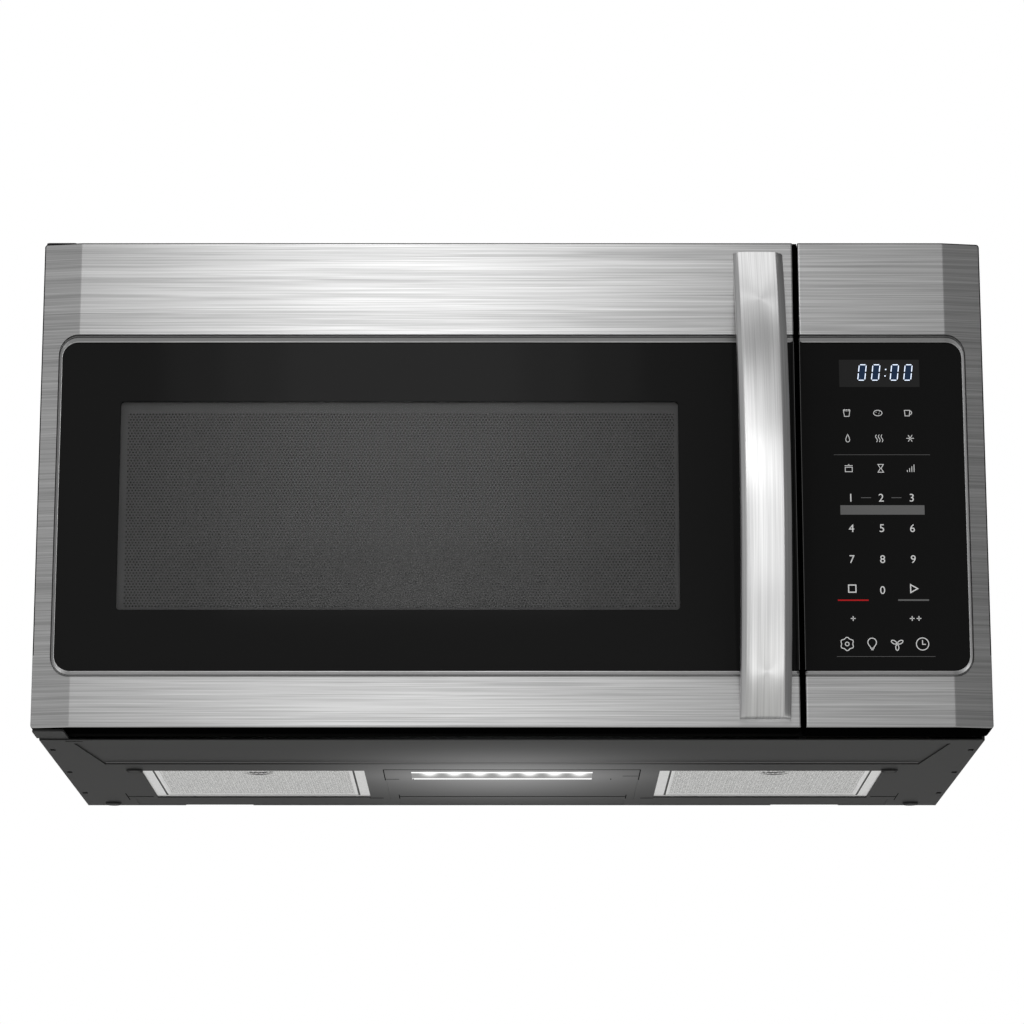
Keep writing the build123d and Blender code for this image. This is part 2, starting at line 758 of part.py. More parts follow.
# The moulded frame nests in the skin and carries the glass, the latch and the pins.
nest = skin_sheet + clip_gap
with BuildPart() as door_frame:
    block(-half_width, door_x, return_y, frame_y, front_z, front_top)
    fillet(outer_corners(door_frame, -1), corner_radius)
    block(-half_width + nest, door_x - nest, glass_back_y, return_y, front_z + nest, front_top - nest)
    block(
        window_left - window_lap, window_right + window_lap, edge_y, frame_y + 1,
        window_z0 - window_lap, window_z1 + window_lap, mode=Mode.SUBTRACT,
    )
    # pockets above and below the window leave a ribbed moulding
    pocket_x0 = -half_width + 2 * hinge_inset
    pocket_x1 = latch_x - pocket_margin
    for z0, z1 in (
        (front_z + 2 * frame_wall, window_z0 - window_lap - frame_wall),
        (window_z1 + window_lap + frame_wall, front_top - 2 * frame_wall),
    ):
        block(pocket_x0, pocket_x1, glass_back_y + frame_wall, frame_y + 1, z0, z1, mode=Mode.SUBTRACT)
    # the latch bar's channel, with the spring's bore above it
    block(
        latch_x - latch_thickness / 2 - gap, latch_x + latch_thickness / 2 + gap, latch_y0 - gap, frame_y + 1,
        latch_z0 - latch_travel - gap, latch_z1 + gap, mode=Mode.SUBTRACT,
    )
    rod(
        (latch_x, latch_mid_y, latch_z1), (0, 0, 1), spring_radius + gap, spring_length + gap,
        mode=Mode.SUBTRACT,
    )
    pin_bore = pin_radius + press_gap
    rod((hinge_x, hinge_y, front_z - 1), (0, 0, 1), pin_bore, pin_depth + 1, mode=Mode.SUBTRACT)
    rod((hinge_x, hinge_y, front_top + 1), (0, 0, -1), pin_bore, pin_depth + 1, mode=Mode.SUBTRACT)
door_frame.part.label = "door_frame"
export_step(door_frame.part, "parts/door_frame.step")

# The perforated screen stands behind the frame, with the choke's wall round its edge.
screen_x0 = window_left - screen_margin
screen_x1 = window_right + screen_margin
screen_z0 = window_z0 - screen_margin
screen_z1 = window_z1 + screen_margin
screen_columns = int(window_width // screen_pitch)
screen_rows = int(window_height // screen_pitch)
with BuildPart() as door_screen:
    with BuildSketch(upright(frame_y)):
        with Locations((window_mid_x, window_mid_z)):
            Rectangle(screen_x1 - screen_x0, screen_z1 - screen_z0)
            with GridLocations(screen_pitch, screen_pitch, screen_columns, screen_rows):
                Circle(screen_hole_r, mode=Mode.SUBTRACT)
    extrude(amount=-case_sheet)
    with BuildSketch(upright(frame_y + case_sheet)):
        with Locations((window_mid_x, window_mid_z)):
            Rectangle(screen_x1 - screen_x0, screen_z1 - screen_z0)
            Rectangle(
                screen_x1 - screen_x0 - 2 * case_sheet, screen_z1 - screen_z0 - 2 * case_sheet,
                mode=Mode.SUBTRACT,
            )
    extrude(amount=-(choke_wall - case_sheet))
door_screen.part.label = "door_screen"
export_step(door_screen.part, "parts/door_screen.step")

cover_y = door_y - cover_sheet
with BuildPart() as choke_cover:
    block(cover_x0, cover_x1, cover_y, door_y, front_z + cover_margin, front_top - cover_margin)
    block(cover_x0, cover_x1, frame_y, cover_y, front_z + cover_margin, front_top - cover_margin)
    block(
        cover_x0 + cover_sheet, cover_x1 - cover_sheet, frame_y - 1, cover_y,
        front_z + cover_margin + cover_sheet, front_top - cover_margin - cover_sheet, mode=Mode.SUBTRACT,
    )
    block(
        window_left - window_lap, window_right + window_lap, cover_y - 1, door_y + 1,
        window_z0 - window_lap, window_z1 + window_lap, mode=Mode.SUBTRACT,
    )
    for floor in arm_floors:
        block(
            latch_x - latch_thickness / 2 - gap, latch_x + latch_thickness / 2 + gap, cover_y - 1, door_y + 1,
            floor - latch_travel - gap, floor + barb_rise + gap, mode=Mode.SUBTRACT,
        )
choke_cover.part.label = "choke_cover"
export_step(choke_cover.part, "parts/choke_cover.step")

film_reach = window_lap + film_lap
with BuildPart() as door_inner_film:
    block(
        window_left - film_reach, window_right + film_reach, cover_y - film_thickness, cover_y,
        window_z0 - film_reach, window_z1 + film_reach,
    )
door_inner_film.part.label = "door_inner_film"
export_step(door_inner_film.part, "parts/door_inner_film.step")

# The handle is one bowed bar, with a foot on the door at each end.
arc_y = handle_y + handle_radius
end_y0 = arc_y - math.sqrt(handle_radius**2 - (handle_z - handle_z0) ** 2)
end_y1 = arc_y - math.sqrt(handle_radius**2 - (handle_z1 - handle_z) ** 2)
with BuildPart() as handle_bar:
    with BuildSketch(Plane.YZ.offset(handle_x - handle_width / 2)):
        with BuildLine():
            ThreePointArc((end_y1, handle_z1), (handle_y, handle_z), (end_y0, handle_z0))
            Polyline((end_y0, handle_z0), (face_y, handle_z0), (face_y, handle_z - grip_half))
            ThreePointArc(
                (face_y, handle_z - grip_half), (handle_y + handle_thickness, handle_z),
                (face_y, handle_z + grip_half),
            )
            Polyline((face_y, handle_z + grip_half), (face_y, handle_z1), (end_y1, handle_z1))
        make_face()
    extrude(amount=handle_width)
    front_arcs = handle_bar.edges().filter_by(GeomType.CIRCLE).sort_by(Axis.Y)[:2]
    chamfer(front_arcs, handle_bevel)
    for screw_z in handle_screw_zs:
        rod(
            (handle_x, face_y + 1, screw_z), (0, -1, 0), handle_screw_r + press_gap, handle_screw_bite + 1,
            mode=Mode.SUBTRACT,
        )
handle_bar.part.label = "handle_bar"
export_step(handle_bar.part, "parts/handle_bar.step")

with BuildPart() as handle_screws:
    for screw_z in handle_screw_zs:
        seat_y = face_y + skin_sheet
        rod((handle_x, seat_y, screw_z), (0, 1, 0), screw_head_r, screw_head_height)
        rod((handle_x, seat_y, screw_z), (0, -1, 0), handle_screw_r, skin_sheet + handle_screw_bite)
handle_screws.part.label = "handle_screws"
export_step(handle_screws.part, "parts/handle_screws.step")

with BuildPart() as latch_hook:
    latch_x0 = latch_x - latch_thickness / 2
    latch_x1 = latch_x + latch_thickness / 2
    block(latch_x0, latch_x1, latch_y0, latch_y1, latch_z0, latch_z1)
    for floor in arm_floors:
        block(latch_x0, latch_x1, latch_y1, arm_tip_y, floor, floor + arm_height)
        block(latch_x0, latch_x1, arm_tip_y - barb_length, arm_tip_y, floor + arm_height, floor + barb_rise)
latch_hook.part.label = "latch_hook"
export_step(latch_hook.part, "parts/latch_hook.step")

with BuildPart() as latch_spring:
    rod((latch_x, latch_mid_y, latch_z1 + gap), (0, 0, 1), spring_radius, spring_length - gap)
    rod(
        (latch_x, latch_mid_y, latch_z1), (0, 0, 1), spring_radius - spring_wire, spring_length + 1,
        mode=Mode.SUBTRACT,
    )
latch_spring.part.label = "latch_spring"
export_step(latch_spring.part, "parts/latch_spring.step")

# ================================================================ interlock
channel_x0 = latch_x - latch_thickness / 2 - latch_room
channel_x1 = latch_x + latch_thickness / 2 + swing_room
with BuildPart() as interlock_bracket:
    channel_y1 = cavity_y + bracket_reach
    for floor in arm_floors:
        z0 = floor - latch_travel - latch_room
        z1 = floor + barb_rise + latch_room
        block(
            channel_x0 - bracket_wall, channel_x1 + bracket_wall, cavity_y, channel_y1,
            z0 - bracket_wall, z1 + bracket_wall,
        )
        block(channel_x0, channel_x1, cavity_y - 1, channel_y1 + 1, z0, z1, mode=Mode.SUBTRACT)
    block(
        channel_x1, channel_x1 + bracket_wall, cavity_y, channel_y1,
        arm_floors[0] + barb_rise + latch_room, arm_floors[1] - latch_travel - latch_room,
    )
interlock_bracket.part.label = "interlock_bracket"
export_step(interlock_bracket.part, "parts/interlock_bracket.step")

plunger_zs = [
    arm_floors[0] + arm_height / 3,
    arm_floors[0] + arm_height / 3 + switch_height + clip_gap,
    arm_floors[1] + arm_height / 3,
]
with BuildPart() as door_switches:
    for plunger_z in plunger_zs:
        block(
            channel_x0, channel_x0 + switch_thickness, switch_y, switch_y + switch_length,
            plunger_z - switch_height / 2, plunger_z + switch_height / 2,
        )
        rod(
            (latch_x, switch_y - 1, plunger_z), (0, 1, 0), plunger_radius + running_fit, switch_bore + 1,
            mode=Mode.SUBTRACT,
        )
door_switches.part.label = "door_switches"
export_step(door_switches.part, "parts/door_switches.step")

plunger_length = plunger_stick + switch_bore - plunger_travel - clip_gap
for name, plunger_z in zip(["secondary", "monitor", "primary"], plunger_zs):
    with BuildPart() as switch_plunger:
        rod((latch_x, switch_y - plunger_stick, plunger_z), (0, 1, 0), plunger_radius, plunger_length)
    switch_plunger.part.label = "switch_plunger_" + name
    export_step(switch_plunger.part, "parts/switch_plunger_" + name + ".step")

# ================================================================ control side
with BuildPart() as control_skin:
    add(front_skin(1, panel_x))
control_skin.part.label = "control_skin"
export_step(control_skin.part, "parts/control_skin.step")

with BuildPart() as control_glass:
    add(glass_pane(panel_x + skin_sheet + clip_gap, half_width))
control_glass.part.label = "control_glass"
export_step(control_glass.part, "parts/control_glass.step")

display_x0 = display_left - display_margin
display_x1 = display_right + display_margin
module_z0 = display_z0 - display_margin
module_z1 = display_z1 + display_margin
post_inset = post_size / 2 + 1
with BuildPart() as control_housing:
    block(panel_x, half_width, return_y, plate_y, front_z, front_top)
    fillet(outer_corners(control_housing, 1), corner_radius)
    block(panel_x + nest, half_width - nest, glass_back_y, return_y, front_z + nest, front_top - nest)
    inset = nest + housing_wall
    block(
        panel_x + inset, half_width - inset, glass_back_y + housing_wall, plate_y + 1,
        front_z + inset, front_top - inset, mode=Mode.SUBTRACT,
    )
    block(
        display_x0 - clip_gap, display_x1 + clip_gap, edge_y, glass_back_y + housing_wall + 1,
        module_z0 - clip_gap, module_z1 + clip_gap, mode=Mode.SUBTRACT,
    )
    for post_x in (board_x0 + post_inset, board_x1 - post_inset):
        for post_z in (board_z0 + post_inset, board_z1 - post_inset):
            block(
                post_x - post_size / 2, post_x + post_size / 2, glass_back_y, board_y,
                post_z - post_size / 2, post_z + post_size / 2,
            )
control_housing.part.label = "control_housing"
export_step(control_housing.part, "parts/control_housing.step")

with BuildPart() as display_module:
    block(display_x0, display_x1, glass_back_y, board_y, module_z0, module_z1)
display_module.part.label = "display_module"
export_step(display_module.part, "parts/display_module.step")

with BuildPart() as control_board:
    block(board_x0, board_x1, board_y, board_y + board_sheet, board_z0, board_z1)
    board_mid_x = (board_x0 + board_x1) / 2
    board_mid_z = (board_z0 + board_z1) / 2
    board_middle = (board_mid_x, board_y + board_sheet, board_mid_z)
    with Locations(Plane(origin=board_middle, x_dir=(1, 0, 0), z_dir=(0, 1, 0))):
        with GridLocations(2 * relay_size, 3 * relay_size, 3, 4):
            Box(relay_size, relay_size, relay_size - 2, align=(Align.CENTER, Align.CENTER, Align.MIN))
control_board.part.label = "control_board"
export_step(control_board.part, "parts/control_board.step")

# ================================================================ oven cavity
with BuildPart() as cavity:
    block(
        cavity_left - cavity_sheet, cavity_out_x, cavity_y, cavity_back_y + cavity_sheet,
        cavity_z0 - cavity_sheet, cavity_z1 + cavity_sheet,
    )
    block(
        cavity_left, cavity_right, cavity_y - 1, cavity_back_y, cavity_z0, cavity_z1, mode=Mode.SUBTRACT
    )
    rod((cavity_mid_x, cavity_mid_y, cavity_z0 - 2), (0, 0, 1), shaft_hole, 3, mode=Mode.SUBTRACT)
    block(
        cavity_right - 1, cavity_out_x + 1, guide_y - port_size / 2, guide_y + port_size / 2,
        guide_z - port_size / 2, guide_z + port_size / 2, mode=Mode.SUBTRACT,
    )
    rod((cavity_right - 1, lamp_y, lamp_z), (1, 0, 0), lamp_radius + gap, 3, mode=Mode.SUBTRACT)
    with Locations(Plane(origin=(vent_x, cavity_back_y - 1, vent_z), x_dir=(1, 0, 0), z_dir=(0, 1, 0))):
        with GridLocations(vent_pitch, vent_pitch, vent_columns, vent_rows):
            Cylinder(
                vent_radius, cavity_sheet + 2, align=(Align.CENTER, Align.CENTER, Align.MIN), mode=Mode.SUBTRACT
            )
cavity.part.label = "cavity"
export_step(cavity.part, "parts/cavity.step")

with BuildPart() as cavity_lamp:
    block(
        cavity_out_x, cavity_out_x + lamp_depth, lamp_y - lamp_size / 2, lamp_y + lamp_size / 2,
        lamp_z - lamp_size / 2, lamp_z + lamp_size / 2,
    )
    rod((cavity_right + gap, lamp_y, lamp_z), (1, 0, 0), lamp_radius, cavity_sheet)
cavity_lamp.part.label = "cavity_lamp"
export_step(cavity_lamp.part, "parts/cavity_lamp.step")

with BuildPart() as waveguide_cover:
    half = port_size / 2 + port_lap
    block(
        cavity_right - film_thickness, cavity_right, guide_y - half, guide_y + half,
        guide_z - half, guide_z + half,
    )
waveguide_cover.part.label = "waveguide_cover"
export_step(waveguide_cover.part, "parts/waveguide_cover.step")

with BuildPart() as waveguide:
    block(
        cavity_out_x, guide_x1, guide_y - guide_width / 2, guide_y + guide_width / 2,
        guide_z - guide_height / 2, guide_z + guide_height / 2,
    )
    block(
        cavity_out_x - 1, guide_x1 - cavity_sheet, guide_y - guide_width / 2 + cavity_sheet,
        guide_y + guide_width / 2 - cavity_sheet, guide_z - guide_height / 2 + cavity_sheet,
        guide_z + guide_height / 2 - cavity_sheet, mode=Mode.SUBTRACT,
    )
    rod(
        (guide_x1 - cavity_sheet - 1, guide_y, magnetron_z), (1, 0, 0), 2 * antenna_radius, cavity_sheet + 2,
        mode=Mode.SUBTRACT,
    )
waveguide.part.label = "waveguide"
export_step(waveguide.part, "parts/waveguide.step")

# The magnetron: flange and aerial at the waveguide, cooling fins in an open yoke.
with BuildPart() as magnetron:
    half = magnetron_size / 2
    yoke_x1 = guide_x1 + magnetron_length
    rod((guide_x1 - antenna_length, guide_y, magnetron_z), (1, 0, 0), antenna_radius, antenna_length)
    block(guide_x1, yoke_x1, guide_y - half, guide_y + half, magnetron_z - half, magnetron_z + half)
    block(
        guide_x1 + plate_sheet, yoke_x1 - plate_sheet, guide_y - half - 1, guide_y + half + 1,
        magnetron_z - half + plate_sheet, magnetron_z + half - plate_sheet, mode=Mode.SUBTRACT,
    )
    rod((guide_x1, guide_y, magnetron_z), (1, 0, 0), magnetron_size / 4, magnetron_length)
    fin_pitch = magnetron_length / (fin_count + 1)
    for i in range(fin_count):
        fin_x = guide_x1 + (i + 1) * fin_pitch
        fin_reach = half - fin_inset
        block(
            fin_x - fin_sheet / 2, fin_x + fin_sheet / 2, guide_y - fin_reach, guide_y + fin_reach,
            magnetron_z - half + plate_sheet, magnetron_z + half - plate_sheet,
        )
    block(
        yoke_x1, yoke_x1 + magnetron_size / 4, guide_y - half / 2, guide_y + half / 2,
        magnetron_z - half / 2, magnetron_z + half / 2,
    )
magnetron.part.label = "magnetron"
export_step(magnetron.part, "parts/magnetron.step")

with BuildPart() as hv_transformer:
    stand_z = plate_top + shelf_rise
    block(
        transformer_x - core_width / 2, transformer_x + core_width / 2, transformer_y - core_depth / 2,
        transformer_y + core_depth / 2, stand_z, stand_z + core_height,
    )
    coil_reach = core_depth / 2 + coil_bulge
    block(
        transformer_x - core_width / 4, transformer_x + core_width / 4, transformer_y - coil_reach,
        transformer_y + coil_reach, stand_z + coil_inset, stand_z + core_height - coil_inset,
    )
hv_transformer.part.label = "hv_transformer"
export_step(hv_transformer.part, "parts/hv_transformer.step")

with BuildPart() as capacitor_and_diode:
    with BuildSketch(Plane.XY.offset(plate_top)):
        with Locations((capacitor_x, capacitor_y)):
            SlotOverall(capacitor_length, capacitor_width, rotation=90)
    extrude(amount=capacitor_height)
    rod(
        (capacitor_x, capacitor_y + capacitor_length / 2 + diode_length / 2, plate_top + diode_radius),
        (0, 1, 0), diode_radius, diode_length,
    )
capacitor_and_diode.part.label = "capacitor_and_diode"
export_step(capacitor_and_diode.part, "parts/capacitor_and_diode.step")

# ================================================================ cooling fan
back_y = wall_y - case_sheet
with BuildPart() as fan_shroud:
    block(
        fan_x - shroud_half, fan_x + shroud_half, back_y - shroud_depth, back_y,
        fan_z - shroud_half, fan_z + shroud_half,
    )
    half = shroud_half - housing_wall
    block(
        fan_x - half, fan_x + half, back_y - shroud_depth + housing_wall, back_y + 1,
        fan_z - half, fan_z + half, mode=Mode.SUBTRACT,
    )
    rod(
        (fan_x, back_y - shroud_depth - 1, fan_z), (0, 1, 0), fan_radius + blower_gap, housing_wall + 2,
        mode=Mode.SUBTRACT,
    )
fan_shroud.part.label = "fan_shroud"
export_step(fan_shroud.part, "parts/fan_shroud.step")

fan_motor_y = back_y - fan_motor_depth
with BuildPart() as fan_motor:
    half = fan_motor_size / 2
    block(fan_x - half, fan_x + half, fan_motor_y, back_y, fan_z - half, fan_z + half)
    fillet(fan_motor.edges().filter_by(Axis.Y), fan_motor_size / 10)
    rod(
        (fan_x, fan_motor_y - 1, fan_z), (0, 1, 0), fan_shaft_r + running_fit, fan_motor_depth / 2 + 1,
        mode=Mode.SUBTRACT,
    )
fan_motor.part.label = "fan_motor"
export_step(fan_motor.part, "parts/fan_motor.step")

with BuildPart() as fan_blade:
    hub_y = fan_motor_y - gap - hub_length
    rod((fan_x, hub_y, fan_z), (0, 1, 0), 3 * fan_shaft_r, hub_length)
    rod((fan_x, hub_y, fan_z), (0, 1, 0), fan_shaft_r, hub_length + gap + fan_motor_depth / 2 - gap)
    for i in range(fan_blades):
        turn = 2 * math.pi * i / fan_blades
        out = (math.cos(turn), 0, math.sin(turn))
        centre = Plane(origin=(fan_x, hub_y + hub_length / 2, fan_z), x_dir=out, z_dir=(0, -1, 0))
        with Locations(centre.location * Location((0, 0, 0), (fan_tilt, 0, 0))):
            Box(fan_radius, fan_radius / 2, plate_sheet, align=(Align.MIN, Align.CENTER, Align.CENTER))
fan_blade.part.label = "fan_blade"
export_step(fan_blade.part, "parts/fan_blade.step")

# ================================================================ turntable
motor_top = cavity_z0 - cavity_sheet
with BuildPart() as turntable_motor:
    rod((cavity_mid_x, cavity_mid_y, motor_top), (0, 0, -1), motor_radius, motor_height)
    rod(
        (cavity_mid_x, cavity_mid_y, motor_top + 1), (0, 0, -1), shaft_radius + running_fit, motor_height,
        mode=Mode.SUBTRACT,
    )
turntable_motor.part.label = "turntable_motor"
export_step(turntable_motor.part, "parts/turntable_motor.step")

lobe_angles = [angle + 60 for angle in roller_angles]
with BuildPart() as turntable_coupler:
    shaft_foot = motor_top - motor_height / 2
    hub_z0 = cavity_z0 + hub_gap
    hub_z1 = tray_z - gap
    rod((cavity_mid_x, cavity_mid_y, shaft_foot), (0, 0, 1), shaft_radius, hub_z1 - shaft_foot)
    rod((cavity_mid_x, cavity_mid_y, hub_z0), (0, 0, 1), hub_radius, hub_z1 - hub_z0)
    for angle in lobe_angles:
        with Locations(Location((cavity_mid_x, cavity_mid_y, hub_z0), (0, 0, angle))):
            Box(
                lug_radius + lug_size / 2, lug_size, hub_z1 - hub_z0, align=(Align.MIN, Align.CENTER, Align.MIN)
            )
turntable_coupler.part.label = "turntable_coupler"
export_step(turntable_coupler.part, "parts/turntable_coupler.step")

with BuildPart() as turntable_tray:
    with BuildSketch(Plane(origin=(cavity_mid_x, cavity_mid_y, tray_z), x_dir=(1, 0, 0), z_dir=(0, -1, 0))):
        with BuildLine():
            Polyline(
                (0, 0),
                (tray_radius - 2 * tray_rim, 0),
                (tray_radius, tray_rim),
                (tray_radius - tray_thickness, tray_rim + 1),
                (tray_radius - 2 * tray_rim - tray_thickness / 2, tray_thickness),
                (0, tray_thickness),
                close=True,
            )
        make_face()
    revolve(axis=Axis((cavity_mid_x, cavity_mid_y, 0), (0, 0, 1)))
    # three lugs below, which the coupler's lobes push round
    for angle in lobe_angles:
        with Locations(Location((cavity_mid_x, cavity_mid_y, tray_z), (0, 0, angle + lug_lead))):
            with Locations((lug_radius, 0, 0)):
                Box(lug_size, lug_size, lug_size, align=(Align.CENTER, Align.CENTER, Align.MAX))
turntable_tray.part.label = "turntable_tray"
export_step(turntable_tray.part, "parts/turntable_tray.step")

with BuildPart() as roller_ring:
    with BuildSketch(Plane.XY.offset(roller_z - ring_height / 2)):
        with Locations((cavity_mid_x, cavity_mid_y)):
            Circle(ring_radius + ring_width / 2)
            Circle(ring_radius - ring_width / 2, mode=Mode.SUBTRACT)
    extrude(amount=ring_height)
    for angle in roller_angles:
        out = (math.cos(math.radians(angle)), math.sin(math.radians(angle)), 0)
        start = (cavity_mid_x + ring_radius * out[0], cavity_mid_y + ring_radius * out[1], roller_z)
        rod(start, out, roller_bore - running_fit, ring_width / 2 + axle_length)
roller_ring.part.label = "roller_ring"
export_step(roller_ring.part, "parts/roller_ring.step")

for i, angle in enumerate(roller_angles):
    out = (math.cos(math.radians(angle)), math.sin(math.radians(angle)), 0)
    near = roller_reach - roller_width / 2
    start = (cavity_mid_x + near * out[0], cavity_mid_y + near * out[1], roller_z)
    with BuildPart() as roller:
        rod(start, out, roller_radius, roller_width)
        rod(start, out, roller_bore, roller_width, mode=Mode.SUBTRACT)
    roller.part.label = "roller_" + str(i + 1)
    export_step(roller.part, "parts/roller_" + str(i + 1) + ".step")

# ================================================================ underside
for name, side in (("left", -1), ("right", 1)):
    mid_x = side * (filter_inner + filter_outer) / 2
    half = (filter_outer - filter_inner) / 2 - clip_gap
    y0 = filter_y0 - filter_lip + clip_gap
    y1 = filter_y1 + filter_lip - clip_gap
    filter_z = plate_top + clip_gap
    with BuildPart() as grease_filter:
        block(mid_x - half, mid_x + half, y0, y1, filter_z, filter_z + filter_thickness)
        block(
            mid_x - half + filter_band, mid_x + half - filter_band, y0 + filter_band, y1 - filter_band,
            filter_z - 1, filter_z + filter_thickness + 1, mode=Mode.SUBTRACT,
        )
        with BuildSketch(Plane.XY.offset(filter_z + filter_thickness / 2 - mesh_thickness / 2)):
            with Locations((mid_x, (y0 + y1) / 2)):
                Rectangle(2 * half - filter_band, y1 - y0 - filter_band)
                columns = int((2 * half - 2 * filter_band) // mesh_pitch)
                rows = int((y1 - y0 - 2 * filter_band) // mesh_pitch)
                with GridLocations(mesh_pitch, mesh_pitch, columns, rows):
                    Rectangle(mesh_hole, mesh_hole, rotation=45, mode=Mode.SUBTRACT)
        extrude(amount=mesh_thickness)
    grease_filter.part.label = "grease_filter_" + name
    export_step(grease_filter.part, "parts/grease_filter_" + name + ".step")

panel_top = plate_top + case_sheet
with BuildPart() as lamp_panel:
    block(
        -lamp_half + clip_gap, lamp_half - clip_gap, lamp_y0 + clip_gap, lamp_y1 - clip_gap, base_z, plate_top
    )
    block(
        -lamp_half - lens_lap, lamp_half + lens_lap, lamp_y0 - lens_lap, lamp_y1 + lens_lap,
        plate_top, panel_top,
    )
    block(lens_left, lens_right, lens_y0, lens_y1, base_z - 1, panel_top + 1, mode=Mode.SUBTRACT)
lamp_panel.part.label = "lamp_panel"
export_step(lamp_panel.part, "parts/lamp_panel.step")

with BuildPart() as lamp_lens:
    block(
        lens_left + clip_gap, lens_right - clip_gap, lens_y0 + clip_gap, lens_y1 - clip_gap, base_z, panel_top
    )
    block(
        lens_left - lens_lap, lens_right + lens_lap, lens_y0 - lens_lap, lens_y1 + lens_lap,
        panel_top, panel_top + lens_thickness,
    )
lamp_lens.part.label = "lamp_lens"
export_step(lamp_lens.part, "parts/lamp_lens.step")

with BuildPart() as led_board:
    pcb_z = panel_top + lens_thickness + board_gap
    block(
        lens_left - lens_lap - post_size, lens_right + lens_lap + post_size, lens_y0, lens_y1,
        pcb_z, pcb_z + board_sheet,
    )
    for x0 in (lens_left - lens_lap - post_size, lens_right + lens_lap):
        block(x0, x0 + post_size, lens_y0, lens_y1, panel_top, pcb_z)
    with Locations(((lens_left + lens_right) / 2, (lens_y0 + lens_y1) / 2, pcb_z)):
        with GridLocations((lens_right - lens_left) / led_count, 1, led_count, 1):
            Box(led_size, led_size, led_height, align=(Align.CENTER, Align.CENTER, Align.MAX))
led_board.part.label = "led_board"
export_step(led_board.part, "parts/led_board.step")

# ================================================================ extraction
with BuildPart() as exhaust_adapter:
    block(-duct_half, duct_half, duct_y0, duct_y1, duct_z0, top_z)
    block(
        -duct_half + duct_wall, duct_half - duct_wall, duct_y0 + duct_wall, duct_y1 - duct_wall,
        duct_z0 + duct_wall, top_z + 1, mode=Mode.SUBTRACT,
    )
    for side in (-1, 1):
        outlet_x = side * scroll_mid_x
        half = scroll_width / 2 - scroll_sheet
        block(
            outlet_x - half, outlet_x + half, scroll_y - scroll_radius + scroll_sheet,
            scroll_y + scroll_radius - scroll_sheet, duct_z0 - 1, duct_z0 + duct_wall + 1, mode=Mode.SUBTRACT,
        )
        rod(
            (side * (duct_half + 1), flap_pin_y, flap_z), (-side, 0, 0), flap_pin_r + running_fit,
            duct_wall + 2, mode=Mode.SUBTRACT,
        )
    # the ledge on which the flap's free edge comes down
    block(
        -duct_half + duct_wall, duct_half - duct_wall, duct_y0 + duct_wall, duct_y0 + duct_wall + ledge_width,
        flap_z - flap_thickness / 2 - gap - duct_wall, flap_z - flap_thickness / 2 - gap,
    )
exhaust_adapter.part.label = "exhaust_adapter"
export_step(exhaust_adapter.part, "parts/exhaust_adapter.step")

with BuildPart() as damper_flap:
    flap_half = duct_half - duct_wall - flap_gap
    block(
        -flap_half, flap_half, duct_y0 + duct_wall + flap_gap, flap_pin_y,
        flap_z - flap_thickness / 2, flap_z + flap_thickness / 2,
    )
    rod((-flap_half, flap_pin_y, flap_z), (1, 0, 0), flap_pin_r + 1, 2 * flap_half)
    rod((-duct_half, flap_pin_y, flap_z), (1, 0, 0), flap_pin_r, 2 * duct_half)
damper_flap.part.label = "damper_flap"
export_step(damper_flap.part, "parts/damper_flap.step")

# Each scroll is a drum with an outlet up to the adapter and an inlet each side.
with BuildPart() as blower_housing:
    for side in (-1, 1):
        x0 = side * scroll_mid_x - scroll_width / 2
        for inset, cut in ((0, Mode.ADD), (scroll_sheet, Mode.SUBTRACT)):
            radius = scroll_radius - inset
            with BuildSketch(Plane.YZ.offset(x0 + inset)):
                with Locations((scroll_y, scroll_z)):
                    Circle(radius)
                with Locations((scroll_y, (scroll_z + duct_z0 + inset) / 2)):
                    Rectangle(2 * radius, duct_z0 + inset - scroll_z)
            extrude(amount=scroll_width - 2 * inset, mode=cut)
        rod((x0 - 1, scroll_y, scroll_z), (1, 0, 0), scroll_inlet_r, scroll_width + 2, mode=Mode.SUBTRACT)
        # a foot down to the cavity's roof
        block(
            x0, x0 + scroll_width, scroll_y - foot_width / 2, scroll_y + foot_width / 2,
            cavity_z1 + cavity_sheet, scroll_z - scroll_radius + scroll_sheet / 2,
        )
blower_housing.part.label = "blower_housing"
export_step(blower_housing.part, "parts/blower_housing.step")

with BuildPart() as blower_motor:
    rod(
        (-blower_motor_length / 2, scroll_y, scroll_z), (1, 0, 0), blower_motor_r, blower_motor_length
    )
    block(
        -foot_width / 2, foot_width / 2, scroll_y - foot_width / 2, scroll_y + foot_width / 2,
        cavity_z1 + cavity_sheet, scroll_z - blower_motor_r / 2,
    )
    rod(
        (-blower_motor_length, scroll_y, scroll_z), (1, 0, 0), blower_shaft_r + running_fit,
        2 * blower_motor_length, mode=Mode.SUBTRACT,
    )
blower_motor.part.label = "blower_motor"
export_step(blower_motor.part, "parts/blower_motor.step")

wheel_reach = scroll_mid_x + wheel_width / 2
with BuildPart() as blower_shaft:
    rod((-wheel_reach, scroll_y, scroll_z), (1, 0, 0), blower_shaft_r, 2 * wheel_reach)
blower_shaft.part.label = "blower_shaft"
export_step(blower_shaft.part, "parts/blower_shaft.step")

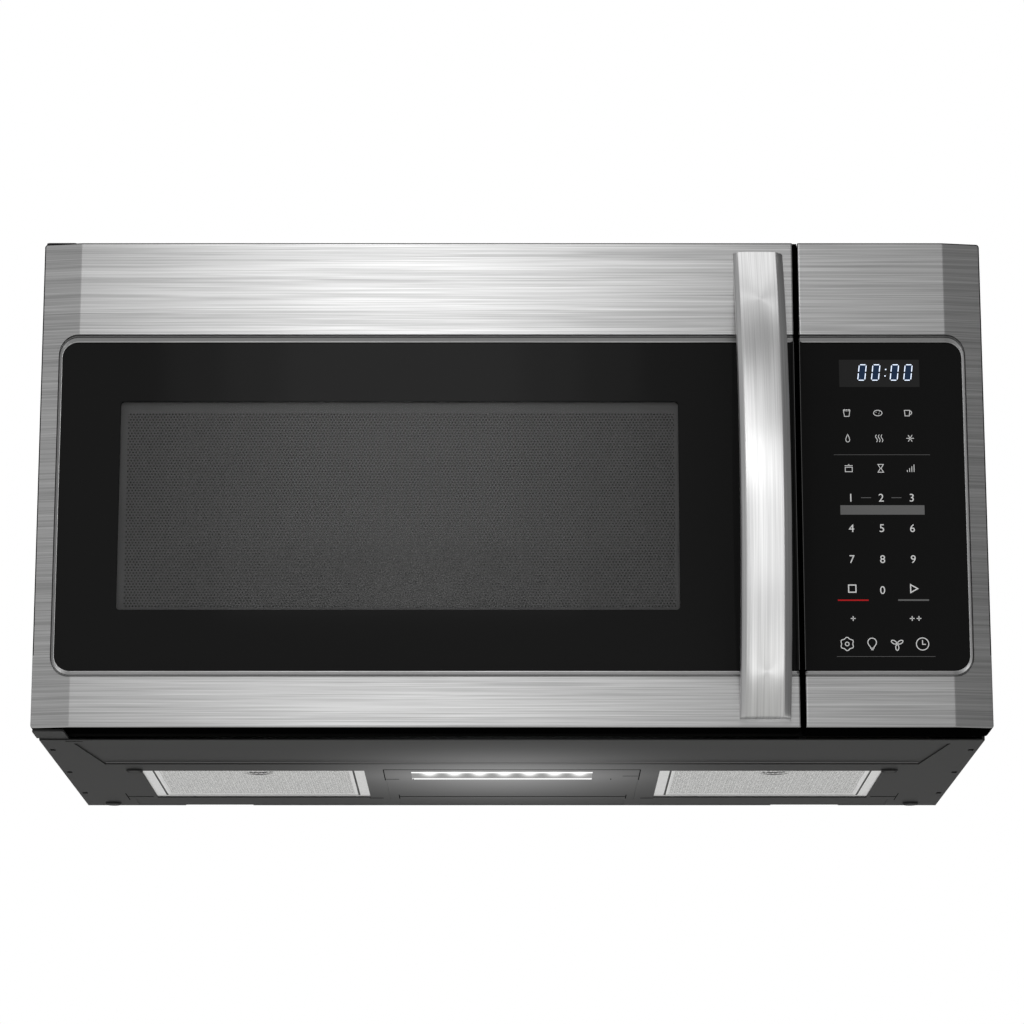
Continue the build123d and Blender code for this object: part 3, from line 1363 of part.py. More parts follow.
# A squirrel-cage wheel: hub disc, a ring at each end and blades between them.
for name, side in (("left", -1), ("right", 1)):
    x0 = side * scroll_mid_x - wheel_width / 2
    with BuildPart() as blower_wheel:
        rod((x0, scroll_y, scroll_z), (1, 0, 0), wheel_radius, wheel_disc)
        rod((x0, scroll_y, scroll_z), (1, 0, 0), 2 * blower_shaft_r, wheel_width / 3)
        with BuildSketch(Plane.YZ.offset(x0 + wheel_width - wheel_disc)):
            with Locations((scroll_y, scroll_z)):
                Circle(wheel_radius)
                Circle(wheel_radius - blade_depth, mode=Mode.SUBTRACT)
        extrude(amount=wheel_disc)
        with BuildSketch(Plane.YZ.offset(x0)):
            with Locations((scroll_y, scroll_z)):
                with PolarLocations(wheel_radius - blade_depth / 2, blade_count):
                    Rectangle(blade_depth - 1, blade_sheet)
        extrude(amount=wheel_width)
        rod(
            (x0 - 1, scroll_y, scroll_z), (1, 0, 0), blower_shaft_r + press_gap, wheel_width + 2,
            mode=Mode.SUBTRACT,
        )
    blower_wheel.part.label = "blower_wheel_" + name
    export_step(blower_wheel.part, "parts/blower_wheel_" + name + ".step")

# The vent grille drops into the top, and its skirt holds the charcoal filter.
grille_z0 = top_z - case_sheet - charcoal_height - charcoal_wall
with BuildPart() as vent_grille:
    block(-grille_half, grille_half, grille_y0, grille_y1, grille_z0, top_z)
    block(
        -grille_half + charcoal_wall, grille_half - charcoal_wall, grille_y0 + charcoal_wall,
        grille_y1 - charcoal_wall, grille_z0 - 1, top_z - case_sheet, mode=Mode.SUBTRACT,
    )
    with Locations((0, (grille_y0 + grille_y1) / 2, top_z)):
        with GridLocations(1, grille_depth / (grille_slots + 1), 1, grille_slots):
            Box(2 * grille_half - 4 * charcoal_wall, grille_slot, 4 * case_sheet, mode=Mode.SUBTRACT)
    for side in (-1, 1):
        clip_x = side * (grille_half - charcoal_wall)
        block(
            min(clip_x, clip_x - side * charcoal_wall), max(clip_x, clip_x - side * charcoal_wall),
            grille_y0 + charcoal_wall, grille_y1 - charcoal_wall, grille_z0, grille_z0 + charcoal_wall,
        )
vent_grille.part.label = "vent_grille"
export_step(vent_grille.part, "parts/vent_grille.step")

with BuildPart() as charcoal_filter:
    inner_half = grille_half - charcoal_wall - clip_gap
    block(
        -inner_half, inner_half, grille_y0 + charcoal_wall + clip_gap, grille_y1 - charcoal_wall - clip_gap,
        grille_z0 + charcoal_wall, top_z - case_sheet - clip_gap,
    )
charcoal_filter.part.label = "charcoal_filter"
export_step(charcoal_filter.part, "parts/charcoal_filter.step")
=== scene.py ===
# %% [markdown]
# An over-the-range microwave oven: a steel front over a dark painted cabinet, black
# glass, a bowed handle, and a hood's lamp and filters below. The solids come from the
# CAD frame and keep their place. This file dresses them: it adds the thin folded,
# printed and woven surfaces that a solid model leaves out, and one finish per material.

# %% Load the frame
import bpy
import math
import numpy as np
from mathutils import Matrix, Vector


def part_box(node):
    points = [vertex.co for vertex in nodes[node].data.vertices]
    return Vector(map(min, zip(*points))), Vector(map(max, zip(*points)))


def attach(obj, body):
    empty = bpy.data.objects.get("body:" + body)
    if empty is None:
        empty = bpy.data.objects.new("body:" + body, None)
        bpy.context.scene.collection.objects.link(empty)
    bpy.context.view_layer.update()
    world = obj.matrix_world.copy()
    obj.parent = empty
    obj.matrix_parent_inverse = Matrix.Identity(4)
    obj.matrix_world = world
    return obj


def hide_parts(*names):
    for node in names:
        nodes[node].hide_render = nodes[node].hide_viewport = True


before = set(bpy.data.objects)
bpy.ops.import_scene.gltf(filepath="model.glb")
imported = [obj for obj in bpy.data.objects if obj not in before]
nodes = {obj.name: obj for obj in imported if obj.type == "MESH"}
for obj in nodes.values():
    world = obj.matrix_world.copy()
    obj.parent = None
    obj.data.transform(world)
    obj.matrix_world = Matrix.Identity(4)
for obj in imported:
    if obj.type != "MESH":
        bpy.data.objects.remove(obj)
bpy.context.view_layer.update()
MM = 0.001

# %% [markdown]
# The camera comes first. It stands 2.8 m in front of the door and half a metre below
# it, tilted up, so that the underside shows. Upright lines then lean together, as they
# do in any view from below.

# %% Camera
def new_object(name, data):
    """An object with this data, linked to the scene."""
    made = bpy.data.objects.new(name, data)
    bpy.context.scene.collection.objects.link(made)
    return made


camera_data = bpy.data.cameras.new("camera")
camera_data.lens = 126.8
camera_data.sensor_width = 36.0
camera = new_object("camera", camera_data)
camera.location = (0.0, -2.9634, -0.4820)
camera.rotation_euler = (math.radians(90 + 13.28), 0, 0)
bpy.context.scene.camera = camera
print("camera at", tuple(round(v, 3) for v in camera.location))

# %% [markdown]
# The real sizes that the new surfaces need are read back from the frame's solids, so
# that a new surface always lies on what carries it. They are kept in millimetres, as in
# a sheet-metal shop.

# %% Sizes read from the frame, in millimetres
def extent(name):
    """Lowest and highest corner of a CAD node, in millimetres."""
    lo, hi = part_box(name)
    return np.array(lo) / MM, np.array(hi) / MM


door_lo, door_hi = extent("door_skin")
panel_lo, panel_hi = extent("control_skin")
glass_lo, glass_hi = extent("door_glass")
glass_lap = 3.0  # glass behind the bezel
more_side, less_foot, more_top = 0.7, 0.5, 1.0  # the opening against the glass less its lap
glass_y = glass_lo[1]
glass_x = -glass_lo[0] - glass_lap + more_side
glass_z0, glass_z1 = glass_lo[2] + glass_lap + less_foot, glass_hi[2] - glass_lap + more_top
half_width = panel_hi[0]
face_y, return_y = door_lo[1], door_hi[1]
front_z0, front_z1 = door_lo[2], door_hi[2]
glass_radius = 12.5
bezel_top, bezel_foot, bezel_side = 5.9, 5.4, 3.0  # trim's width above, below and beside the glass
chamfer_width = 30.5
corner_radius = 2.5
fold_radius = 1.0
hem = 0.6  # bare steel behind the fold
fold_x = half_width - chamfer_width
slope = (glass_y - face_y) / chamfer_width
print("front", door_lo.round(1), panel_hi.round(1), "glass half width", round(glass_x, 2))

# %% [markdown]
# A mesh is made from whole arrays of points. A grid of rows and columns gives quads
# whose corner numbers are arithmetic on the row and column, so no loop over points is
# needed.

# %% Meshes from arrays
def new_mesh(name, points, faces):
    """An object whose mesh has these points (metres) and corner lists."""
    mesh = bpy.data.meshes.new(name)
    mesh.from_pydata(np.asarray(points).tolist(), [], [list(f) for f in faces])
    return new_object(name, mesh)


def make_piece(name, points, faces, material_of_face=None, smooth_angle=30):
    """An object at the origin whose mesh has these points (mm) and corner lists.

    Edges that turn by more than smooth_angle degrees stay sharp.
    """
    piece = new_mesh(name, np.asarray(points) * MM, faces)
    mesh = piece.data
    if material_of_face is not None:
        mesh.polygons.foreach_set("material_index", np.asarray(material_of_face, dtype=np.int32))
    mesh.shade_smooth()
    mesh.set_sharp_from_angle(angle=math.radians(smooth_angle))
    mesh.validate()
    print("piece", name, len(mesh.vertices), "points", len(mesh.polygons), "faces")
    return piece


def grid_faces(rows, columns, flip=False, closed=False):
    """Corner numbers of a grid of points stored row by row: (r, c), (r, c+1), (r+1, c+1), (r+1, c).

    A closed grid joins its last column to its first.
    """
    steps = columns if closed else columns - 1
    r, c = np.meshgrid(np.arange(rows - 1), np.arange(steps), indexing="ij")
    first, after = r * columns + c, r * columns + (c + 1) % columns
    quads = np.stack([first, after, after + columns, first + columns], -1).reshape(-1, 4)
    return quads[:, ::-1] if flip else quads


# %% [markdown]
# The steel front is one sheet, folded back round its edges and drawn in towards the
# glass in a stepped bezel. The solid has the sheet's main planes. What the eye looks for
# is smaller: the bright roll where the sheet turns, the dark groove before the trim, and
# the thin dark line at each outer edge. So the sheet is made again as a path carried
# round the glass, with the bezel's section across it. Its grooves, the far side of its
# folds and its returns are painted shade: they take black plastic. The lip beside the
# glass takes the face's lighter steel as a painted highlight.

# %% The bezel's section, from the glass outwards: (distance from the glass, depth), mm
bezel_section = np.array([
    (0.0, 4.5), (0.1, 3.6), (0.45, 3.25), (0.9, 3.2), (1.0, 2.9), (3.3, 2.1),
    (3.55, 2.2), (3.65, 3.4), (4.15, 3.4), (4.25, 1.9), (4.4, 1.6), (4.6, 1.65),
    (4.7, 2.9), (5.4, 2.9), (5.5, 0.6), (5.6, 0.15), (5.7, 0.0),
])
section_width = bezel_section[-1, 0]
trim_bands = 11  # bands of the section that belong to the trim round the glass
bend = np.radians([0, 22.5, 45, 67.5, 90])


def trim_width(ray, trim):
    """Width of the trim in a direction: an ellipse between its width beside and above the glass."""
    return np.hypot(bezel_side * ray[:, 0], trim * ray[:, 1])


# %% [markdown]
# The path is a row of stations, from the split between door and control side, along a
# band and round its corner. Each station knows its point on the outer edge, its point on
# the glass's edge, and the way across between them.

# %% The path round the glass
def half_path(split, edge_z, glass_edge, up, trim):
    """Stations from the split along one band and round its corner, outer edge at +x.

    Returns, per station: outer point, its outward direction, glass-edge point, bezel
    direction with the trim's width as its length, and how far the split's fold has dropped.
    The band runs straight, then rays from the corner's centre join the glass's arc to the
    outer corner.
    """
    centre = np.array([glass_x - glass_radius, glass_edge - up * glass_radius])
    split_x = split + fold_radius * (1 - np.sin(bend[::-1]))
    split_drop = fold_radius * (1 - np.cos(bend[::-1]))
    # stations stand close together at the split's fold and at the chamfer's
    straight = np.concatenate([
        [split], split_x, [split_x[-1] + 0.5],
        np.linspace(split + 6, fold_x - 0.6, 14), [fold_x, centre[0]],
    ])
    drop = np.concatenate([[np.inf], split_drop, np.zeros(len(straight) - 1 - len(split_x))])
    n = len(straight)
    outer = np.stack([straight, np.full(n, edge_z)], 1)
    glass = np.stack([straight, np.full(n, glass_edge)], 1)
    out = np.tile([0.0, up], (n, 1))
    # round the corner: along the band's edge, round the small arc, down the side
    arc_middle = np.array([half_width - corner_radius, edge_z - up * corner_radius])
    along = np.linspace(centre[0], arc_middle[0], 5)[1:]
    turn = np.radians(np.linspace(0, 90, 7))
    arc_out = np.stack([np.sin(turn), up * np.cos(turn)], 1)
    down = np.linspace(arc_middle[1], centre[1], 12)[1:]
    corner_outer = np.concatenate([
        np.stack([along, np.full(4, edge_z)], 1),
        arc_middle + corner_radius * arc_out[1:],
        np.stack([np.full(11, half_width), down], 1),
    ])
    corner_out = np.concatenate(
        [np.tile([0.0, up], (4, 1)), arc_out[1:], np.tile([1.0, 0.0], (11, 1))]
    )
    ray = corner_outer - centre
    ray /= np.linalg.norm(ray, axis=1)[:, None]
    way = np.concatenate([out, ray])
    return (
        np.concatenate([outer, corner_outer]),
        np.concatenate([out, corner_out]),
        np.concatenate([glass, centre + glass_radius * ray]),
        way * trim_width(way, trim)[:, None],
        np.concatenate([drop, np.zeros(len(ray))]),
    )


# %% [markdown]
# Now the section is carried along the path. Each row of points crosses the sheet: down
# the bezel, over the flat, round the fold and back along the return.

# %% The folded sheet
sheet_wall = 0.9


def face_depth(x):
    """The front's y at a distance x from its middle: flat, then sloping back past the fold."""
    return face_y + np.maximum(0, x - fold_x) * slope


def folded_sheet(name, side, split):
    """One front sheet: from the split over the top, down its side and along the foot."""
    upper = half_path(split, front_z1, glass_z1, 1, bezel_top)
    lower = half_path(split, front_z0, glass_z0, -1, bezel_foot)
    outer, out, glass, ray, drop = [np.concatenate([a, b[::-1]]) for a, b in zip(upper, lower)]
    bezel_outer = glass + ray
    height = (glass_y - face_depth(bezel_outer[:, 0]))[:, None]
    # across: the bezel, the flat, the fold, and the edge that goes back
    w, h = bezel_section.T
    w = w / section_width
    bezel_xz = glass[:, None] + w[None, :, None] * ray[:, None]
    bezel_depth = glass_y - (1 - h / h[0])[None, :] * height
    share = np.array([0.08, 0.35, 0.65, 0.975, 1.0])
    flat_end = outer - fold_radius * out
    flat_xz = bezel_outer[:, None] + share[None, :, None] * (flat_end - bezel_outer)[:, None]
    flat_depth = face_depth(flat_xz[..., 0])
    fold_xz = flat_end[:, None] + fold_radius * np.sin(bend[1:])[None, :, None] * out[:, None]
    fold_depth = face_depth(fold_xz[..., 0]) + fold_radius * (1 - np.cos(bend[1:]))
    xz = np.concatenate([bezel_xz, flat_xz, fold_xz, outer[:, None], outer[:, None]], 1)
    back = [fold_depth[:, -1:] + hem, np.full((len(outer), 1), return_y)]
    depth = np.concatenate([bezel_depth, flat_depth, fold_depth] + back, 1)
    depth = np.minimum(depth + drop[:, None], return_y)
    points = np.stack([side * xz[..., 0], depth, xz[..., 1]], -1)
    rows, columns = depth.shape
    bands = np.zeros(columns - 1, dtype=int)
    bands[:trim_bands] = 1  # trim
    bands[1:3] = 0  # painted highlight: the lip beside the glass takes the face's lighter steel
    bands[[0, 6, 7, 11, 12]] = 2  # painted shade: the grooves and the wall at the glass take black plastic
    bands[-4:] = 2  # painted shade: the end of the fold and the return take black plastic
    finish = np.tile(bands, (rows - 1, 1))
    finish[: rows // 2, -6:] = 2  # painted shade: the whole fold along the top and upper side
    finish[[0, -1]] = 2  # painted shade: the split's return takes black
    sheet = make_piece(
        name, points.reshape(-1, 3), grid_faces(rows, columns, flip=side > 0), finish.reshape(-1)
    )
    thickness = sheet.modifiers.new("thickness", "SOLIDIFY")
    thickness.thickness = sheet_wall * MM
    thickness.offset = -1
    return sheet


# %% Door and control-side sheets
door_face = folded_sheet("door_face", -1, -door_hi[0])
control_face = folded_sheet("control_face", 1, panel_lo[0])
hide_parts("door_skin")
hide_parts("control_skin")
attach(door_face, "door")
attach(control_face, "cabinet")

# %% [markdown]
# The handle is a bowed bar of bright steel with a flat bevel down each side. Its front
# and its back are two arcs over the same apex, and it meets the door in a short foot at
# each end. One cross-section with softened corners is carried up the bar, and its front
# and back move in and out with the two arcs.

# %% Handle
bar_lo, bar_hi = extent("handle_bar")
bar_apex = bar_lo[2] + 184.5  # height of the apex
bar_thickness = 15.0
bevel_left, bevel_right = 3.6, 6.0
bar_crown = 0.5  # the front face is a little fuller in the middle
bar_soft = 0.8  # softened corners
bar_foot = 10.0  # shorter foot
bar_end = 5.5  # thinner end ahead of the face


def bow(z, apex_y, half, sagitta):
    """Depth of an arc at height z: a circle through its apex, back by sagitta at half its chord."""
    radius = (half**2 + sagitta**2) / (2 * sagitta)
    return apex_y + radius - np.sqrt(radius**2 - (z - bar_apex) ** 2)


def handle_surface(stations=140):
    """The bar as rings of points, and its two end faces."""
    z = np.linspace(bar_lo[2] + bar_soft, bar_hi[2] - bar_soft, stations)
    halves = [bar_apex - bar_lo[2], bar_hi[2] - bar_apex]
    grip_half = min(halves) - bar_foot
    z = np.sort(np.concatenate([z, [bar_apex - grip_half, bar_apex + grip_half]]))
    sink = bar_soft * (1 - np.cos(bend[1:]))
    rise = bar_soft * np.sin(bend[1:])
    z = np.concatenate([z[0] - rise[::-1], z, z[-1] + rise])
    inset = np.concatenate([sink[::-1], np.zeros(stations + 2), sink])
    reach = face_y - bar_lo[1]
    front = bow(z, bar_lo[1], max(halves), reach - bar_end) + inset
    grip = np.abs(z - bar_apex) < grip_half
    back = np.full(len(z), face_y)
    back[grip] = bow(z[grip], bar_lo[1] + bar_thickness, grip_half, reach - bar_thickness)
    x0, x1 = bar_lo[0] + inset, bar_hi[0] - inset
    flat_x0, flat_x1 = x0 + bevel_left, x1 - bevel_right
    crown = [
        np.stack([flat_x0 + u * (flat_x1 - flat_x0), front + bar_crown * (2 * u - 1) ** 2], 1)
        for u in np.linspace(0, 1, 7)
    ]
    corner = np.stack([
        np.stack([x0, back], 1), np.stack([x0, front + bevel_left + bar_crown], 1), *crown,
        np.stack([x1, front + bevel_right + bar_crown], 1), np.stack([x1, back], 1),
    ], 1)
    # each corner becomes a short curve: a quadratic between points a little before and after it
    before = np.roll(corner, 1, axis=1) - corner
    after = np.roll(corner, -1, axis=1) - corner
    before *= bar_soft / np.linalg.norm(before, axis=2)[..., None]
    after *= bar_soft / np.linalg.norm(after, axis=2)[..., None]
    t = np.linspace(0, 1, 4)[None, None, :, None]
    ring = corner[:, :, None] + (1 - t) ** 2 * before[:, :, None] + t**2 * after[:, :, None]
    ring = ring.reshape(len(z), -1, 2)
    points = np.stack([ring[..., 0], ring[..., 1], np.broadcast_to(z[:, None], ring.shape[:2])], -1)
    rows, columns = ring.shape[:2]
    sides = grid_faces(rows, columns, closed=True)
    ends = [np.arange(columns)[::-1], (rows - 1) * columns + np.arange(columns)]
    return points.reshape(-1, 3), [list(q) for q in sides] + [list(e) for e in ends]


handle = make_piece("pull_handle", *handle_surface())
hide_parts("handle_bar")
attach(handle, "door")

# %% [markdown]
# Behind the glass stands a steel screen with thousands of punched holes, too many to
# cut one by one. The screen is one thin sheet, and its finish lets the light through
# where each hole is.

# %% Window screen
def flat_sheet(name, lo, hi, axis, level, columns, rows, bump=None):
    """A grid over a rectangle square to one axis, at a level on it, raised by bump(u, v)."""
    across = [i for i in range(3) if i != axis]
    u = np.linspace(lo[across[0]], hi[across[0]], columns)
    v = np.linspace(lo[across[1]], hi[across[1]], rows)
    vv, uu = np.meshgrid(v, u, indexing="ij")
    points = np.empty((rows, columns, 3))
    points[..., across[0]], points[..., across[1]] = uu, vv
    points[..., axis] = level + (bump(uu, vv) if bump else 0)
    faces = grid_faces(rows, columns, flip=axis == 2)
    return make_piece(name, points.reshape(-1, 3), faces, smooth_angle=80)


window_lo, window_hi = np.array([-314.6, 0, 100.0]), np.array([133.6, 0, 271.1])
screen_lap = np.array([1.5, 0, 1.5])  # hidden by the print round the window
screen_y = glass_hi[1] + 0.4
window_screen = flat_sheet(
    "window_screen", window_lo - screen_lap, window_hi + screen_lap, 1, screen_y, 2, 2,
)
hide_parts("door_screen")
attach(window_screen, "door")

# %% [markdown]
# A grease filter is a packet of expanded aluminium mesh in a folded frame. Close to, its
# face is a field of small crossing strands. The field is a height map: two diagonal
# waves of strands, and a slow swell where the packet is not quite flat.

# %% Grease-filter mesh
strand_pitch = 4.2
strand_height = 0.6
strand_slant = 0.6  # step across per step back
swell_height = 0.25


def strands(x, y):
    """Height of the mesh: the higher of two crossed sets of diagonal ridges, plus a slow swell."""
    first = np.cos(2 * np.pi * (x + strand_slant * y) / strand_pitch)
    second = np.cos(2 * np.pi * (x - strand_slant * y) / strand_pitch)
    swell = np.sin(x / 17.0) * np.sin(y / 13.0 + 1.0)
    return -strand_height * np.maximum(first, second) - swell_height * swell


frame_section = np.array([
    (0, -0.1), (0.62, -0.1), (0.64, 0.5), (0.72, 0.5),
    (0.74, -0.15), (0.84, -0.35), (0.94, -0.1), (1, 1.5),
])  # share of the way in, height
frame_side, frame_front, frame_rear = 14.0, 2.5, 13.0  # widths


def filter_frame(name, lo, hi, z):
    """A flat frame with mitred corners: frame_section carried round a rectangle."""
    outer = np.array([(lo[0], lo[1]), (hi[0], lo[1]), (hi[0], hi[1]), (lo[0], hi[1])])
    wide, front, rear = frame_side, frame_front, frame_rear
    inner = outer + [(wide, front), (-wide, front), (-wide, -rear), (wide, -rear)]
    t, height = frame_section.T
    xy = outer[:, None] + t[None, :, None] * (inner - outer)[:, None]
    points = np.concatenate([xy, np.broadcast_to(z + height, xy.shape[:2])[..., None]], 2)
    around = np.concatenate([points, points[:1]])  # back to the first corner
    bands = np.zeros(len(t) - 1, dtype=int)
    bands[1:4] = 1  # painted shade: the groove takes a dull grey
    faces = grid_faces(5, len(t), flip=True)
    return make_piece(name, around.reshape(-1, 3), faces, np.tile(bands, 4))


opening_lo, opening_hi = np.array([124.0, 30.0]), np.array([311.0, 177.0])  # of the right filter
tab_shift, tab_half, tab_in = 4, 13, 19  # pull tab: off the middle, half width, off the front
filter_meshes, filter_frames, filter_tabs = [], [], []
for side, sign in (("left", -1), ("right", 1)):
    lo, hi = extent("grease_filter_" + side)
    middle = sign * (opening_lo[0] + opening_hi[0]) / 2
    half = (opening_hi[0] - opening_lo[0]) / 2
    lo[:2], hi[:2] = (middle - half, opening_lo[1]), (middle + half, opening_hi[1])
    mesh_lo = lo + [frame_side - 1, frame_front - 0.5, 0]
    mesh_hi = hi - [frame_side - 1, frame_rear - 1, 0]
    mesh = flat_sheet("filter_mesh_" + side, mesh_lo, mesh_hi, 2, lo[2] + 1.2, 200, 140, strands)
    filter_meshes.append(mesh)
    filter_frames.append(filter_frame("filter_frame_" + side, lo, hi, lo[2]))
    # the pull tab's crescent, between two arcs
    u = np.linspace(-1, 1, 17)
    tab_x = middle + tab_shift + tab_half * u
    arcs = [opening_lo[1] + tab_in + rise * (1 - u**2) for rise in (3.0, 9.0)]
    points = [np.column_stack([tab_x, arc, np.full(len(u), lo[2] - 0.2)]) for arc in arcs]
    tab_faces = grid_faces(2, len(u), flip=True)
    tab = make_piece("filter_tab_" + side, np.concatenate(points), tab_faces)
    filter_tabs.append(tab)
    for piece in (mesh, filter_frames[-1], filter_tabs[-1]):
        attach(piece, "filter_" + side)

# %% [markdown]
# A rubber bumper is turned: its section goes once round an upright axis. The face has a
# ring groove that reads as a thin dark circle. The groove and the outer rim take black
# rubber, which there is also painted shade; the face between takes the case's powder coat.

# %% Bumpers
bumper_section = np.array([
    (0.0, 0.05), (4.6, 0.0), (5.2, 0.0), (5.3, 0.8), (6.0, 0.8),
    (6.1, 0.1), (6.6, 0.0), (7.0, 0.4), (7.0, 1.6),
])  # radius, height
bumper_spots = [(-316, 26), (316, 26), (-353, 208), (353, 208)]
bumper_steps = 36


def turned(section, places, steps=bumper_steps):
    """Each place gets the section turned round it: (x + r cos a, y + r sin a, h)."""
    angle = 2 * np.pi * np.arange(steps) / steps
    r, h = section.T
    x = r[:, None] * np.cos(angle)
    y = r[:, None] * np.sin(angle)
    one = np.stack([x, y, np.broadcast_to(h[:, None], x.shape)], -1).reshape(-1, 3)
    faces = grid_faces(len(r), steps, closed=True)
    points = np.concatenate([one + [px, py, 0] for px, py in places])
    return points, np.concatenate([faces + i * len(one) for i in range(len(places))])


points, faces = turned(bumper_section, bumper_spots)
ring = np.tile(np.repeat([0, 0, 1, 1, 1, 0, 1, 1], bumper_steps), len(bumper_spots))  # 1 is black rubber, also painted shade in the groove and round the rim
bumpers = make_piece("bumpers", points, faces, ring)
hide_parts("base_bumpers")
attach(bumpers, "cabinet")

# %% [markdown]
# Beside the door runs a gap of four millimetres. A black lip folded from the control
# side's frame stops light from passing through it. It and the glass strips' black
# returns stand there as painted shade.

# %% Edge strips and a black lip, painted shade in the gap
def carried_up(path, heights):
    """Points of an (x, y) path repeated at each height, row by row."""
    level = np.repeat(heights[:, None, None], len(path), 1)
    return np.concatenate([np.repeat(path[None], len(heights), 0), level], 2).reshape(-1, 3)


rim_width = 0.5
strip_rows = 25


def edge_strip(name, inner_x, edge_x):
    """A black strip closing the glass's upright edge: its face, a ground rim, its return, which is
    painted shade in the gap.
    """
    rim = rim_width if edge_x > inner_x else -rim_width
    x = [inner_x, edge_x - rim, edge_x - 0.1 * rim, edge_x]
    path = np.column_stack([x, [face_y + 0.3] * 3 + [return_y]])
    points = carried_up(path, np.linspace(glass_z0 + 0.2, glass_z1 - 0.2, strip_rows))
    faces = grid_faces(strip_rows, len(path), flip=rim < 0)
    return make_piece(name, points, faces, np.tile([0, 1, 0], strip_rows - 1))


touch_lo = extent("control_glass")[0]
door_strip = edge_strip("door_edge_strip", glass_hi[0] - 0.5, door_hi[0])
panel_strip = edge_strip("control_edge_strip", touch_lo[0] + 0.5, panel_lo[0])
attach(door_strip, "door")
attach(panel_strip, "cabinet")
print("glass ends at", glass_hi[0].round(2), "and", touch_lo[0].round(2))
lip_x, lip_y = panel_lo[0] - 0.1, return_y - 0.5
lip_path = np.array([(lip_x, door_hi[1]), (lip_x, lip_y), (door_hi[0] + 0.6, lip_y)])
lip_z = np.linspace(front_z0 + 1, front_z1 + 2.8, 9)  # the cabinet's top is 3 mm above the front's
lip_faces = grid_faces(len(lip_z), len(lip_path))
gap_shade_lip = make_piece("gap_shade_lip", carried_up(lip_path, lip_z), lip_faces)
wall = gap_shade_lip.modifiers.new("thickness", "SOLIDIFY")
wall.thickness, wall.offset = 0.6 * MM, 0
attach(gap_shade_lip, "cabinet")

# %% [markdown]
# The keys are ink on the back of the glass. Numbers come from Blender's own font, and
# each sign is a line of ink of one width, so one function turns any line into a ribbon
# and a sign is only its line.

# %% Ribbons of ink
ink_y = glass_y - 0.05
ink_z = front_z0 + 0.9  # level that the keys' heights are measured from
ink = {"white": [[], []], "grey": [[], []], "red": [[], []]}


def add_flat(store, points, faces):
    """Adds flat faces, given as points of two coordinates and corner lists, to a store."""
    start = sum(len(p) for p in store[0])
    store[0].append(np.asarray(points, dtype=float))
    store[1].extend([[start + i for i in f] for f in faces])


def upright_piece(name, chunks, faces, y):
    """A piece of flat upright faces, given as (x, z) points, at depth y."""
    flat = np.concatenate(chunks)
    return make_piece(name, np.stack([flat[:, 0], np.full(len(flat), y), flat[:, 1]], 1), faces)


def ribbon(line, width, closed=False):
    """A ribbon along a line: each point is pushed half a width along its mitre, both ways."""
    line = np.asarray(line, dtype=float)
    ahead = np.roll(line, -1, axis=0) - line
    behind = line - np.roll(line, 1, axis=0)
    if not closed:
        ahead[-1], behind[0] = behind[-1], ahead[0]
    ahead /= np.linalg.norm(ahead, axis=1)[:, None]
    behind /= np.linalg.norm(behind, axis=1)[:, None]
    normal = np.stack([-(ahead + behind)[:, 1], (ahead + behind)[:, 0]], 1)
    normal /= np.linalg.norm(normal, axis=1)[:, None]
    stretch = np.clip(normal[:, 0] * -ahead[:, 1] + normal[:, 1] * ahead[:, 0], 0.4, 1)
    push = normal * (width / 2 / stretch)[:, None]
    points = np.stack([line + push, line - push], 1).reshape(-1, 2)
    n = len(line)
    first = np.arange(n if closed else n - 1)
    second = (first + 1) % n
    faces = np.stack([2 * first, 2 * first + 1, 2 * second + 1, 2 * second], 1)
    return points, faces.tolist()


def draw(colour, place, lines, width=0.6):
    """Inks lines round a place. A line is (points, closed)."""
    for line, closed in lines:
        points, faces = ribbon(line, width, closed)
        add_flat(ink[colour], points + np.asarray(place), faces)


def round_line(x, z, rx, rz=None, start=0, stop=360, steps=28):
    """Points of an ellipse or a part of one, from one angle to another."""
    a = np.radians(np.linspace(start, stop, steps, endpoint=abs(stop - start) < 360))
    return np.stack([x + rx * np.cos(a), z + (rz or rx) * np.sin(a)], 1)


# %% [markdown]
# The folds and joints of the underside are too fine for the solid model: the lamp
# panel's outline, the steps pressed at the rear, and the shelf's edge. They are thin
# lines laid on the sheet: dark lines as painted shade in the folds and joints, and one
# pale line as a painted highlight along the shelf's edge. A line across the view is
# drawn wider, because the sheet is seen so nearly edge on.

# %% Creases of the underside
crease = {"dark": [[], []], "pale": [[], []]}
across, along = 2.4, 0.8  # widths across and along the view
# painted shade: the dark lines across and along the folds and joints
for x0, x1, y, width in (
    (-108, 107.5, 24.1, across), (-107.5, -96, 74.5, 2.0), (93.5, 107, 57.3, 2.0),
    (-98.6, 99.7, 170.7, 3.0), (-124.8, -112.8, 179.3, 3.0), (112.7, 124.1, 179.3, 3.0),
    (-336.7, -314.0, 170.7, 3.0), (314.0, 336.7, 170.7, 3.0), (-356.9, -343, -117.0, 2.0),
):
    add_flat(crease["dark"], *ribbon([(x0, y), (x1, y)], width))
for x, y0, y1 in (
    (-107.8, 23, 80.5), (107.6, 23, 78), (-98.6, 160, 182), (99.7, 160, 182),
    (-336.7, 152, 190), (336.7, 152, 190), (-84, 71, 77), (84, 71, 77),
):
    add_flat(crease["dark"], *ribbon([(x, y0), (x, y1)], along))
# painted highlight along the shelf's front edge
add_flat(crease["pale"], *ribbon([(-336, -12.2), (336, -12.2)], 3.0))
base_bottom = extent("base_plate")[0][2]
creases = {}
for tone, (chunks, faces) in crease.items():
    flat = np.concatenate(chunks)
    points = np.column_stack([flat, np.full(len(flat), base_bottom - 0.06)])
    creases[tone] = make_piece("base_crease_" + tone, points, [f[::-1] for f in faces])
    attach(creases[tone], "cabinet")

# %% [markdown]
# A sign is a list of lines, drawn round its own middle.

# %% Signs, in millimetres round their middle
def bar(x0, z0, x1, z1):
    """One straight stroke."""
    return [(x0, z0), (x1, z1)], False


